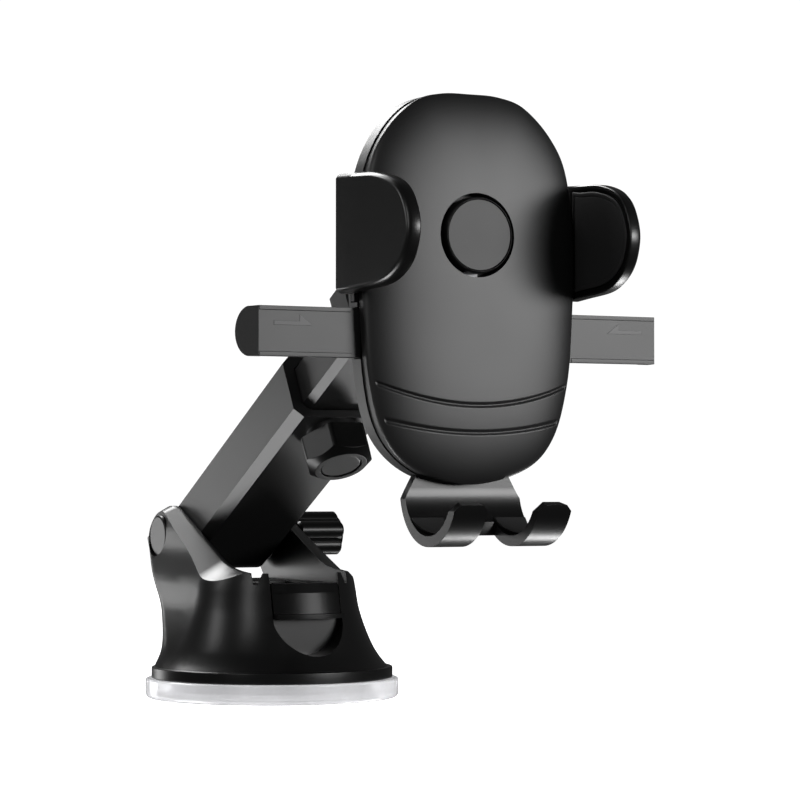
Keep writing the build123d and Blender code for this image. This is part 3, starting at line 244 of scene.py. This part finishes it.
def clouded(nodes: bpy.types.Nodes, links: bpy.types.NodeLinks, surface: bpy.types.Node,
            low: tuple, high: tuple) -> bpy.types.Node:
    """Mix of two colours that follows the clouding.

    Args:
        nodes: Nodes of the material.
        links: Links of the material.
        surface: Mottled surface group node.
        low: Colour where the clouding is 0.
        high: Colour where the clouding is 1.

    Returns:
        The mix node.
    """
    tint = nodes.new("ShaderNodeMix")
    tint.data_type = "RGBA"
    tint.inputs["A"].default_value = low
    tint.inputs["B"].default_value = high
    links.new(surface.outputs["Cloud"], tint.inputs["Factor"])
    return tint


def bumped(nodes: bpy.types.Nodes, links: bpy.types.NodeLinks, height: bpy.types.NodeSocket,
           strength: float, distance: float) -> bpy.types.Node:
    """Bump node driven by a height.

    Args:
        nodes: Nodes of the material.
        links: Links of the material.
        height: Socket that gives the height.
        strength: Strength of the bump.
        distance: Its height, in metres.

    Returns:
        The bump node.
    """
    bump = nodes.new("ShaderNodeBump")
    bump.inputs["Strength"].default_value = strength
    bump.inputs["Distance"].default_value = distance
    links.new(height, bump.inputs["Height"])
    return bump


def mottled_surface_group() -> bpy.types.NodeTree:
    """Fine grain, broad clouding and the roughness that follows it.

    Returns:
        The shared node group, built once.
    """
    name = "mottled_surface"
    if name in bpy.data.node_groups:
        return bpy.data.node_groups[name]
    tree = bpy.data.node_groups.new(name, "ShaderNodeTree")
    sockets = tree.interface
    sockets.new_socket("Position", in_out="INPUT", socket_type="NodeSocketVector")
    for label in ("Grain Scale", "Cloud Scale", "Roughness", "Roughness Spread"):
        sockets.new_socket(label, in_out="INPUT", socket_type="NodeSocketFloat")
    for label in ("Grain", "Cloud", "Roughness"):
        sockets.new_socket(label, in_out="OUTPUT", socket_type="NodeSocketFloat")
    nodes, links = tree.nodes, tree.links
    inside = nodes.new("NodeGroupInput")
    outside = nodes.new("NodeGroupOutput")
    grain = nodes.new("ShaderNodeTexNoise")
    grain.inputs["Detail"].default_value = 2.0
    cloud = nodes.new("ShaderNodeTexNoise")
    cloud.inputs["Detail"].default_value = 4.0
    cloud.inputs["Roughness"].default_value = 0.6
    for noise, scale in ((grain, "Grain Scale"), (cloud, "Cloud Scale")):
        links.new(inside.outputs["Position"], noise.inputs["Vector"])
        links.new(inside.outputs[scale], noise.inputs["Scale"])
    centred = nodes.new("ShaderNodeMath")
    centred.operation = "SUBTRACT"
    centred.inputs[1].default_value = 0.5
    links.new(cloud.outputs["Fac"], centred.inputs[0])
    spread = nodes.new("ShaderNodeMath")
    spread.operation = "MULTIPLY_ADD"
    links.new(centred.outputs["Value"], spread.inputs[0])
    links.new(inside.outputs["Roughness Spread"], spread.inputs[1])
    links.new(inside.outputs["Roughness"], spread.inputs[2])
    links.new(grain.outputs["Fac"], outside.inputs["Grain"])
    links.new(cloud.outputs["Fac"], outside.inputs["Cloud"])
    links.new(spread.outputs["Value"], outside.inputs["Roughness"])
    return tree


class Palette:
    """Every finish on the mount, made once each, by name."""

    def __init__(self) -> None:
        finishes = [
            MouldedPlastic("base_black", 0.005, Gloss.SEMI, specular=0.36),
            MouldedPlastic("arm_grey", 0.014, Gloss.SATIN),
            MouldedPlastic("case_grey", 0.014, Gloss.SATIN),
            MouldedPlastic("button_grey", 0.010, Gloss.SATIN, specular=0.34),
            MouldedPlastic("mark_grey", 0.045, Gloss.SATIN),
            MouldedPlastic("knob_black", 0.004, Gloss.SEMI, specular=0.25),
            MouldedPlastic("jaw_black", 0.003, Gloss.SEMI),
            MouldedPlastic("pad_rubber", 0.018, Gloss.MATT),
            MouldedPlastic("nylon", 0.65, Gloss.SATIN),
            ClearGel("clear_gel", 0.98),
            TurnedMetal("zinc", (0.62, 0.62, 0.64)),
            TurnedMetal("brass", (0.72, 0.52, 0.22)),
        ]
        self._made = {finish.name: finish.make() for finish in finishes}

    def __getitem__(self, name: str) -> bpy.types.Material:
        """Material of that name."""
        return self._made[name]


# ------------------------------------------------------------------ piece helpers
def add_piece(name: str, bm: bmesh.types.BMesh, material: bpy.types.Material) -> bpy.types.Object:
    """Turn a bmesh into an object in the scene.

    Args:
        name: Object name.
        bm: The shape, in the shared frame. It is freed.
        material: Finish of the piece.

    Returns:
        The new object.
    """
    mesh = bpy.data.meshes.new(name)
    bm.to_mesh(mesh)
    bm.free()
    mesh.materials.append(material)
    piece = bpy.data.objects.new(name, mesh)
    bpy.context.scene.collection.objects.link(piece)
    return piece


def soften(piece: bpy.types.Object, width: float, segments: int = 2, angle: float = 35.0) -> None:
    """Round a piece's edges and shade the rest smooth.

    Args:
        piece: Mesh object.
        width: Bevel width, in metres.
        segments: Bevel segments.
        angle: Edges sharper than this many degrees are rounded.
    """
    bevel = piece.modifiers.new("edges", "BEVEL")
    bevel.width = width
    bevel.segments = segments
    bevel.limit_method = "ANGLE"
    bevel.angle_limit = math.radians(angle)
    bevel.harden_normals = False
    piece.data.shade_smooth()
    normals = piece.modifiers.new("normals", "WEIGHTED_NORMAL")
    normals.keep_sharp = True


def settle(piece: bpy.types.Object, body: str, slot: str, *nodes: str) -> bpy.types.Object:
    """Tie a piece to its body and hide the nodes it stands for.

    Args:
        piece: The finished piece.
        body: Body it rides on.
        slot: Material slot of the record; not used.
        *nodes: Frame nodes that it replaces.

    Returns:
        The piece.
    """
    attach(piece, body)
    if nodes:
        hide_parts(*nodes)
    LOG.info("%s rides on %s", piece.name, body)
    return piece


def refined_copy(frame: dict, node: str) -> bmesh.types.BMesh:
    """Joined-up copy of a frame node's mesh, with its flat faces whole.

    Args:
        frame: The loaded frame.
        node: Node name.

    Returns:
        A new bmesh.
    """
    bm = bmesh.new()
    bm.from_mesh(frame["nodes"][node].data)
    bmesh.ops.remove_doubles(bm, verts=bm.verts, dist=WELD)
    bmesh.ops.dissolve_limit(bm, angle_limit=FLAT_ANGLE, verts=bm.verts, edges=bm.edges)
    return bm


def spun(profile: Sequence[tuple[float, float]], centre: Vector, steps: int = 96) -> bmesh.types.BMesh:
    """Full turn of a profile about a line that runs towards the user.

    Args:
        profile: Points as (radius, y), from the middle outwards.
        centre: Point on the axis; its y is not used.
        steps: Steps round the turn.

    Returns:
        A new bmesh.
    """
    bm = bmesh.new()
    verts = [bm.verts.new((centre.x + radius, y, centre.z)) for radius, y in profile]
    edges = [bm.edges.new(pair) for pair in zip(verts, verts[1:])]
    bmesh.ops.spin(
        bm, geom=verts + edges, cent=(centre.x, 0.0, centre.z), axis=(0.0, 1.0, 0.0),
        angle=2 * math.pi, steps=steps, use_merge=True,
    )
    bmesh.ops.remove_doubles(bm, verts=bm.verts, dist=WELD)
    bmesh.ops.recalc_face_normals(bm, faces=bm.faces)
    return bm


def curve_point(before: np.ndarray, here: np.ndarray, after: np.ndarray, beyond: np.ndarray,
                t: float) -> np.ndarray:
    """Point on a smooth curve between two of its knots.

    Args:
        before: Knot before the first.
        here: First knot.
        after: Second knot.
        beyond: Knot after the second.
        t: 0 at the first knot and 1 at the second.

    Returns:
        The point, or a row of points if the knots are rows.
    """
    return 0.5 * (2 * here + (after - before) * t
                  + (2 * before - 5 * here + 4 * after - beyond) * t ** 2
                  + (3 * here - before - 3 * after + beyond) * t ** 3)


def smooth_loop(points: Sequence[tuple[float, float]], steps: int) -> np.ndarray:
    """Closed smooth curve through points.

    Args:
        points: Corners of the loop in order.
        steps: New points for each given one.

    Returns:
        Array of points round the loop.
    """
    knots = np.array(points)
    before, after = np.roll(knots, 1, axis=0), np.roll(knots, -1, axis=0)
    beyond = np.roll(knots, -2, axis=0)
    out = []
    for t in np.linspace(0.0, 1.0, steps, endpoint=False):
        out.append(curve_point(before, knots, after, beyond, t))
    return np.stack(out, axis=1).reshape(-1, 2)


@dataclass
class CaseFace:
    """Crowned front of the cradle: the case's outline, its dome and its grooves."""

    half_x: float = 31.8 * MM
    top: float = 166.4 * MM
    low: float = 63.4 * MM
    rim_y: float = -120.5 * MM
    crown: float = 4.5 * MM
    hole_z: float = 128.8 * MM
    hole_r: float = 11.1 * MM
    groove_w: float = 0.62 * MM
    groove_d: float = 0.55 * MM
    groove_end: float = 1.7 * MM
    wall: float = 2.2 * MM
    turn_in: float = 0.985
    rows: int = 120
    half_columns: int = 46
    search_steps: int = 26
    grooves: Sequence[tuple[float, float]] = ((92.2 * MM, 84.2 * MM), (82.3 * MM, 77.0 * MM))
    right_side: Sequence[tuple[float, float]] = (
        (0.0, 166.4), (8.5, 166.1), (16.4, 163.7), (24.6, 156.1), (29.6, 146.0), (31.8, 127.0),
        (31.4, 108.0), (29.9, 90.5), (25.4, 75.6), (16.6, 67.2), (0.0, 63.4),
    )

    def __post_init__(self) -> None:
        left = [(-x, z) for x, z in reversed(self.right_side[1:-1])]
        loop = smooth_loop(list(self.right_side) + left, 12) * MM
        self.mid = (self.top + self.low) / 2
        self.half_z = (self.top - self.low) / 2
        right = loop[loop[:, 0] >= -1e-9]
        angle = np.arctan2(right[:, 1] - self.mid, right[:, 0])
        order = np.argsort(angle)
        self._angle = angle[order]
        self._reach = np.hypot(right[:, 0], right[:, 1] - self.mid)[order]

    def share(self, x: float, z: float) -> float:
        """How far out a point is.

        Args:
            x: Across, in metres.
            z: Up, in metres.

        Returns:
            0 in the middle and 1 on the case's edge.
        """
        low, high = 0.0, 1.3
        for _ in range(self.search_steps):
            size = (low + high) / 2
            tall = max(1 - (1 - size) * self.half_x / self.half_z, 1e-6)
            px, pz = abs(x) / max(size, 1e-6), (z - self.mid) / tall
            reach = np.interp(math.atan2(pz, px), self._angle, self._reach)
            if math.hypot(px, pz) > reach:
                low = size
            else:
                high = size
        return (low + high) / 2

    def half_width(self, base_z: float) -> float:
        """Half width of the case along one row.

        Args:
            base_z: Height of the row at the middle of the case.

        Returns:
            The half width, in metres.
        """
        low, high = 0.0, self.half_x * 1.05
        for _ in range(24):
            x = (low + high) / 2
            if self.share(x, self.row_height(base_z, x)) < 1.0:
                low = x
            else:
                high = x
        return low

    def row_height(self, base_z: float, x: float) -> float:
        """Height of a row of the surface, which sags like the grooves do.

        Args:
            base_z: Height of the row at the middle of the case.
            x: Across, in metres.

        Returns:
            The height at x.
        """
        (edge_1, low_1), (edge_2, low_2) = self.grooves
        knots = [self.low, low_2, low_1, low_1 + 28 * MM, self.top]
        lifts = [0.0, edge_2 - low_2, edge_1 - low_1, 0.0, 0.0]
        return base_z + float(np.interp(base_z, knots, lifts)) * (x / (34 * MM)) ** 2

    def height(self, x: float, z: float, base_z: float, width: float) -> float:
        """Depth of the surface at a point, grooves included.

        Args:
            x: Across, in metres.
            z: Up, in metres.
            base_z: Height of the point's row at the middle of the case.
            width: Half width of the case along the row.

        Returns:
            Y of the point.
        """
        size = min(self.share(x, z), 1.0)
        y = self.rim_y - self.crown * math.sqrt(max(1 - size ** 3, 0.0))
        for _, low in self.grooves:
            near = 1 - abs(base_z - low) / self.groove_w
            if near > 0 and abs(x) < width - self.groove_end:
                y += self.groove_d * min(near * 1.6, 1.0)
        return y

    def mesh(self) -> bmesh.types.BMesh:
        """Build the cover as one smooth sheet with a rim and a button hole.

        Returns:
            A new bmesh.
        """
        turns = [math.pi * n / self.rows for n in range(1, self.rows)]
        rows = [self.mid - self.half_z * math.cos(turn) for turn in turns]
        for _, low in self.grooves:
            rows = [z for z in rows if abs(z - low) > self.groove_w * 1.8]
            rows += [low + self.groove_w * k for k in (-1.6, -1.0, -0.7, -0.4, 0.0, 0.4, 0.7, 1.0, 1.6)]
        rows.sort()
        columns = [math.sin(math.pi / 2 * (n / self.half_columns - 1)) for n in range(2 * self.half_columns + 1)]
        bm = bmesh.new()
        grid = []
        for base_z in rows:
            width = self.half_width(base_z)
            row = []
            for u in columns:
                x = u * width
                z = self.row_height(base_z, x)
                row.append(bm.verts.new((x, self.height(x, z, base_z, width), z)))
            grid.append(row)
        for lower, upper in zip(grid, grid[1:]):
            for n in range(len(columns) - 1):
                bm.faces.new((lower[n], lower[n + 1], upper[n + 1], upper[n]))
        bm.faces.new(grid[0])
        bm.faces.new(grid[-1])
        self._open_hole(bm)
        self._turn_edges_back(bm)
        bmesh.ops.recalc_face_normals(bm, faces=bm.faces)
        return bm

    def _open_hole(self, bm: bmesh.types.BMesh) -> None:
        """Round hole for the button.

        Args:
            bm: The cover.
        """
        def out(vert: bmesh.types.BMVert) -> float:
            """Distance from the hole's axis."""
            return math.hypot(vert.co.x, vert.co.z - self.hole_z)

        gone = [f for f in bm.faces if sum(out(v) < self.hole_r for v in f.verts) >= 2]
        bmesh.ops.delete(bm, geom=gone, context="FACES")
        edge = {v for e in bm.edges if e.is_boundary for v in e.verts}
        for vert in (v for v in edge if out(v) < self.hole_r * 1.4):
            grow = self.hole_r / out(vert)
            vert.co.x *= grow
            vert.co.z = self.hole_z + (vert.co.z - self.hole_z) * grow
            size = self.share(vert.co.x, vert.co.z)
            vert.co.y = self.rim_y - self.crown * math.sqrt(1 - size ** 3)

    def _turn_edges_back(self, bm: bmesh.types.BMesh) -> None:
        """Walls behind the rim and inside the hole.

        Args:
            bm: The cover.
        """
        edges = [e for e in bm.edges if e.is_boundary]
        for edge in edges:
            edge.smooth = False
        made = bmesh.ops.extrude_edge_only(bm, edges=edges)["geom"]
        for vert in (v for v in made if isinstance(v, bmesh.types.BMVert)):
            inside = math.hypot(vert.co.x, vert.co.z - self.hole_z) < self.hole_r * 1.1
            if inside:
                vert.co.y += self.wall
            else:
                vert.co.y = self.rim_y + 0.02 * MM
                vert.co.x *= self.turn_in
                vert.co.z = self.mid + (vert.co.z - self.mid) * self.turn_in


@dataclass
class CradleFront:
    """Cover and button."""

    palette: Palette
    face: CaseFace = field(default_factory=CaseFace)

    def build(self) -> None:
        """Make the pieces."""
        cover = add_piece("cover_shell", self.face.mesh(), self.palette["case_grey"])
        cover.data.shade_smooth()
        settle(cover, "cradle", "case_satin", "front_cover")
        centre = Vector((0.0, 0.0, self.face.hole_z))
        button = spun([
            (0.0, -126.0 * MM), (9.25 * MM, -126.0 * MM), (9.35 * MM, -125.92 * MM), (9.38 * MM, -125.6 * MM),
            (9.46 * MM, -125.6 * MM), (9.52 * MM, -126.12 * MM), (9.62 * MM, -126.18 * MM),
            (9.85 * MM, -125.95 * MM), (10.05 * MM, -125.4 * MM), (10.1 * MM, -125.1 * MM),
            (10.1 * MM, -122.8 * MM), (0.0, -122.8 * MM),
        ], centre)
        piece = add_piece("button_cap", button, self.palette["button_grey"])
        piece.data.shade_smooth()
        soften(piece, 0.05 * MM, angle=30.0)
        settle(piece, "button", "case_satin", "release_button")


@dataclass
class Jaw:
    """One gripping jaw with its rubber pad.

    Args:
        side: 1 for the jaw at positive X, -1 for its mirror image.
        body: Body that it rides on.
        name: Node of the jaw.
    """

    palette: Palette
    side: int
    body: str
    name: str
    back_y: float = -116.3
    tip_y: float = -151.0
    top_z: float = 144.0
    low_z: float = 112.8
    outer: tuple[float, float] = (37.3, 34.6)
    inner: tuple[float, float] = (32.5, 30.8)
    chamfer: float = 1.3
    lip: float = 0.45
    curve: Sequence[tuple[float, float]] = (
        (-134.0, 142.7), (-143.4, 139.9), (-148.6, 135.2), (-151.0, 128.0), (-148.7, 120.8),
        (-143.6, 116.5), (-136.5, 114.2),
    )

    def outline(self) -> np.ndarray:
        """Side view of the jaw, from the top back round to the low back.

        Returns:
            Points as (y, z), in millimetres.
        """
        guide = [(-124.0, 143.5)] + list(self.curve) + [(-124.0, 113.3)]
        knots = np.array([(-116.0, self.top_z)] + guide + [(-116.0, self.low_z)])
        path = [(self.back_y, self.top_z)]
        for n in range(1, len(knots) - 2):
            before, here, after, beyond = knots[n - 1], knots[n], knots[n + 1], knots[n + 2]
            for t in np.linspace(0.0, 1.0, 8, endpoint=False):
                path.append(curve_point(before, here, after, beyond, t))
        path.append(knots[-2])
        path.append((self.back_y, self.low_z))
        return np.array(path)

    def inset(self, margin: float, back: float = 0.0) -> np.ndarray:
        """Outline moved inwards.

        Args:
            margin: How far in, in millimetres.
            back: How far its back edge moves forwards.

        Returns:
            Points as (y, z), in millimetres.
        """
        path = self.outline()
        ahead = np.vstack([path[1:], path[-1:]])
        behind = np.vstack([path[:1], path[:-1]])
        way = ahead - behind
        way = way / np.linalg.norm(way, axis=1)[:, None]
        moved = path + margin * np.stack([-way[:, 1], way[:, 0]], axis=1)
        moved[0] = (self.back_y - back, moved[0][1])
        moved[-1] = (self.back_y - back, moved[-1][1])
        moved[:, 0] = np.minimum(moved[:, 0], self.back_y - back)
        return moved

    def across(self, y: float, depth: float) -> float:
        """X of a point that is depth outside the inner face, at one y."""
        t = (y - self.back_y) / (self.tip_y - self.back_y)
        return self.inner[0] + (self.inner[1] - self.inner[0]) * t + depth

    def thickness(self, y: float) -> float:
        """Thickness of the jaw at one y."""
        t = (y - self.back_y) / (self.tip_y - self.back_y)
        root = self.outer[0] - self.inner[0]
        tip = self.outer[1] - self.inner[1]
        return root + (tip - root) * t

    def ring(self, bm: bmesh.types.BMesh, margin: float, depth: float, back: float = 0.0,
             from_outside: bool = False) -> list:
        """Loop of vertices along the inset outline.

        Args:
            bm: Mesh that gets the vertices.
            margin: How far the outline is inset, in millimetres.
            depth: Depth from the inner face, or from the outer one.
            back: How far the back edge moves forwards.
            from_outside: Whether depth counts from the outer face.

        Returns:
            The vertices in order.
        """
        verts = []
        for y, z in self.inset(margin, back):
            out = self.thickness(y) - depth if from_outside else depth
            verts.append(bm.verts.new((self.side * self.across(y, out) * MM, y * MM, z * MM)))
        return verts

    def skin(self, bm: bmesh.types.BMesh, rings: Sequence[list]) -> bmesh.types.BMesh:
        """Faces between rings, capped at both ends.

        Args:
            bm: Mesh that holds the rings.
            rings: Loops of as many vertices each.

        Returns:
            The same mesh.
        """
        for one, two in zip(rings, rings[1:]):
            for n in range(len(one)):
                m = (n + 1) % len(one)
                bm.faces.new((one[n], one[m], two[m], two[n]))
        bm.faces.new(rings[0])
        bm.faces.new(rings[-1])
        bmesh.ops.recalc_face_normals(bm, faces=bm.faces)
        return bm

    def build(self) -> None:
        """Make the jaw and its pad."""
        bm = bmesh.new()
        rings = [
            self.ring(bm, 1.75, 0.6, 3.3), self.ring(bm, 1.65, 0.0, 3.2), self.ring(bm, self.lip, 0.0),
            self.ring(bm, 0.1, 0.12), self.ring(bm, 0.0, self.lip),
            self.ring(bm, 0.0, self.chamfer, from_outside=True),
            self.ring(bm, self.chamfer * 0.5, self.chamfer * 0.38, from_outside=True),
            self.ring(bm, self.chamfer * 1.05, 0.0, from_outside=True),
        ]
        piece = add_piece(f"{self.name}_shell", self.skin(bm, rings), self.palette["jaw_black"])
        self._shade(piece)
        settle(piece, self.body, "jaw_gloss", self.name)
        pad = bmesh.new()
        rings = [
            self.ring(pad, 1.95, 0.5, 3.5), self.ring(pad, 1.95, 0.0, 3.5), self.ring(pad, 2.05, -0.16, 3.6),
            self.ring(pad, 2.3, -0.2, 3.8), self.ring(pad, 2.9, -0.19, 4.4), self.ring(pad, 3.1, -0.05, 4.6),
            self.ring(pad, 3.3, -0.05, 4.8), self.ring(pad, 3.5, -0.14, 5.0),
        ]
        piece = add_piece(f"{self.name}_pad_skin", self.skin(pad, rings), self.palette["pad_rubber"])
        self._shade(piece)
        settle(piece, self.body, "soft_rubber", f"{self.name}_pad")

    def _shade(self, piece: bpy.types.Object) -> None:
        """Smooth shading that keeps the flat faces flat."""
        piece.data.shade_smooth()
        normals = piece.modifiers.new("normals", "WEIGHTED_NORMAL")
        normals.keep_sharp = True


@dataclass
class WingArrows:
    """Half arrows on the wings that point at the phone."""

    palette: Palette
    front_y: float = -117.42 * MM
    proud: float = 0.14 * MM
    points: Sequence[tuple[float, float]] = (
        (44.6, 104.3), (48.2, 107.0), (48.2, 105.3), (55.5, 105.3), (55.5, 104.3),
    )

    def build(self) -> None:
        """Make one arrow on each wing."""
        for side, body in ((-1, "left_slider"), (1, "right_slider")):
            bm = bmesh.new()
            back = [bm.verts.new((side * x * MM, self.front_y + 0.05 * MM, z * MM)) for x, z in self.points]
            face = bm.faces.new(back)
            made = bmesh.ops.extrude_face_region(bm, geom=[face])["geom"]
            front = [v for v in made if isinstance(v, bmesh.types.BMVert)]
            bmesh.ops.translate(bm, verts=front, vec=(0.0, -self.proud, 0.0))
            bmesh.ops.recalc_face_normals(bm, faces=bm.faces)
            piece = add_piece(f"arrow_{body}", bm, self.palette["mark_grey"])
            soften(piece, 0.05 * MM)
            settle(piece, body, "case_satin")


@dataclass
class RefinedParts:
    """Frame nodes whose shape is right and whose edges get rounded."""

    frame: dict
    palette: Palette
    parts: dict[str, tuple[str, float]] = field(default_factory=lambda: {
        "base_ring": ("base_black", 0.0004),
        "base_housing": ("base_black", 0.0003),
        "ear_cap": ("knob_black", 0.0003),
        "lock_lever": ("knob_black", 0.0004),
        "side_knob": ("knob_black", 0.0005),
        "outer_arm": ("arm_grey", 0.0004),
        "inner_arm": ("arm_grey", 0.0003),
        "arm_head": ("arm_grey", 0.0004),
        "clamp_knob": ("knob_black", 0.0005),
        "clamp_knob_disc": ("knob_black", 0.0002),
        "ball_nut": ("arm_grey", 0.0003),
        "back_housing": ("case_grey", 0.0004),
        "mid_frame": ("case_grey", 0.0002),
        "left_wing_slider": ("case_grey", 0.0003),
        "right_wing_slider": ("case_grey", 0.0003),
        "foot": ("jaw_black", 0.0004),
    })

    def build(self) -> None:
        """Make every rounded copy."""
        slots = {row["node"]: row["material_slot"] for row in self.frame["record"]["subparts"]}
        for node, (finish, width) in self.parts.items():
            bm = refined_copy(self.frame, node)
            piece = add_piece(f"{node}_shell", bm, self.palette[finish])
            soften(piece, width)
            body = self.frame["nodes"][node]["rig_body"]
            settle(piece, body, slots[node], node)


@dataclass
class KeptParts:
    """Frame nodes that stay as they are and only get a finish."""

    frame: dict
    palette: Palette
    finishes: dict[str, str] = field(default_factory=lambda: {
        "gel": "clear_gel",
        "base_satin": "base_black",
        "arm_satin": "arm_grey",
        "case_satin": "case_grey",
        "jaw_gloss": "jaw_black",
        "soft_rubber": "pad_rubber",
        "inner_nylon": "nylon",
        "zinc_steel": "zinc",
        "brass_insert": "brass",
    })

    def dress(self) -> None:
        """Give each node the finish of its slot."""
        for row in self.frame["record"]["subparts"]:
            node = self.frame["nodes"][row["node"]]
            material = self.palette[self.finishes[row["material_slot"]]]
            node.data.materials.clear()
            node.data.materials.append(material)


# ------------------------------------------------------------------ studio
@dataclass(frozen=True)
class Softbox:
    """Square or oblong studio light.

    Args:
        name: Object name.
        towards: Direction from the aim point to the light.
        distance: How far away it stands, in metres.
        size: Width and height, in metres.
        power: Watts.
    """

    name: str
    towards: tuple[float, float, float]
    distance: float
    size: tuple[float, float]
    power: float

    def place(self, aim: Vector) -> None:
        """Add the light, facing the aim point.

        Args:
            aim: Point it faces.
        """
        data = bpy.data.lights.new(self.name, "AREA")
        data.shape = "RECTANGLE"
        data.size, data.size_y = self.size
        data.energy = self.power
        lamp = bpy.data.objects.new(self.name, data)
        away = Vector(self.towards).normalized()
        lamp.location = aim + away * self.distance
        lamp.rotation_euler = away.to_track_quat("Z", "Y").to_euler()
        lamp.visible_camera = False
        bpy.context.scene.collection.objects.link(lamp)


@dataclass
class Studio:
    """White sweep, soft lights and the camera."""

    aim: Vector = field(default_factory=lambda: Vector((0.0, -0.05, 0.09)))
    lights: Sequence[Softbox] = (
        Softbox("front_right_box", (0.50, -0.84, 0.12), 0.9, (0.45, 0.26), 5.0),
        Softbox("front_left_box", (-0.80, -0.46, 0.32), 0.9, (0.2, 0.5), 1.2),
        Softbox("left_box", (-0.93, 0.30, 0.36), 0.9, (0.2, 0.35), 1.0),
        Softbox("back_left_box", (-0.33, 0.94, -0.16), 0.9, (0.24, 0.38), 1.1),
        Softbox("top_back_box", (-0.05, 0.78, 0.66), 1.0, (0.6, 0.3), 7.5),
        Softbox("low_left_box", (-0.47, 0.42, -0.77), 0.8, (0.35, 0.35), 3.8),
        Softbox("low_right_box", (0.60, 0.30, -0.72), 0.8, (0.15, 0.3), 2.2),
    )

    def build(self) -> None:
        """Set up everything around the object."""
        self._world()
        self._floor()
        self._camera()
        for light in self.lights:
            light.place(self.aim)
        settings = bpy.context.scene.view_settings
        settings.view_transform = "Standard"
        settings.look = "None"

    def _world(self) -> None:
        """White to look at, dim grey as fill light."""
        world = bpy.data.worlds.new("studio_world")
        bpy.context.scene.world = world
        world.use_nodes = True
        nodes, links = world.node_tree.nodes, world.node_tree.links
        fill = nodes["Background"]
        fill.inputs["Color"].default_value = (1.0, 1.0, 1.0, 1.0)
        fill.inputs["Strength"].default_value = 0.06
        seen = nodes.new("ShaderNodeBackground")
        seen.inputs["Color"].default_value = (1.0, 1.0, 1.0, 1.0)
        seen.inputs["Strength"].default_value = 1.05
        rays = nodes.new("ShaderNodeLightPath")
        mix = nodes.new("ShaderNodeMixShader")
        links.new(rays.outputs["Is Camera Ray"], mix.inputs["Fac"])
        links.new(fill.outputs["Background"], mix.inputs[1])
        links.new(seen.outputs["Background"], mix.inputs[2])
        links.new(mix.outputs["Shader"], nodes["World Output"].inputs["Surface"])

    def _floor(self) -> None:
        """Pale floor that the pad rests on."""
        material, _, _, shader = blank_material("sweep_white")
        shader.inputs["Base Color"].default_value = (0.9, 0.9, 0.9, 1.0)
        shader.inputs["Roughness"].default_value = 0.8
        shader.inputs["Emission Color"].default_value = (1.0, 1.0, 1.0, 1.0)
        shader.inputs["Emission Strength"].default_value = 1.0
        bm = bmesh.new()
        bmesh.ops.create_grid(bm, x_segments=1, y_segments=1, size=8.0)
        bmesh.ops.translate(bm, verts=bm.verts, vec=(0.0, 0.0, -0.0003))
        floor = add_piece("studio_floor", bm, material)
        floor.visible_glossy = False
        floor.visible_diffuse = False
        floor.visible_shadow = False

    def _camera(self) -> None:
        """Camera at the product's usual three-quarter view."""
        data = bpy.data.cameras.new("camera")
        data.lens = 129.9
        data.sensor_width = 36.0
        data.clip_end = 50.0
        camera = bpy.data.objects.new("camera", data)
        camera.location = (-0.3723, -0.7826, 0.0641)
        look = Vector((0.4688, 0.8828, 0.0284))
        camera.rotation_euler = look.to_track_quat("-Z", "Y").to_euler()
        bpy.context.scene.collection.objects.link(camera)
        bpy.context.scene.camera = camera


def main() -> None:
    """Build the mount's looks in order."""
    logging.basicConfig(level=logging.INFO, format="%(message)s")
    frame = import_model()
    palette = Palette()
    Studio().build()
    KeptParts(frame, palette).dress()
    RefinedParts(frame, palette).build()
    CradleFront(palette).build()
    Jaw(palette, 1, "left_slider", "right_jaw").build()
    Jaw(palette, -1, "right_slider", "left_jaw").build()
    WingArrows(palette).build()


if __name__ == "__main__":
    main()
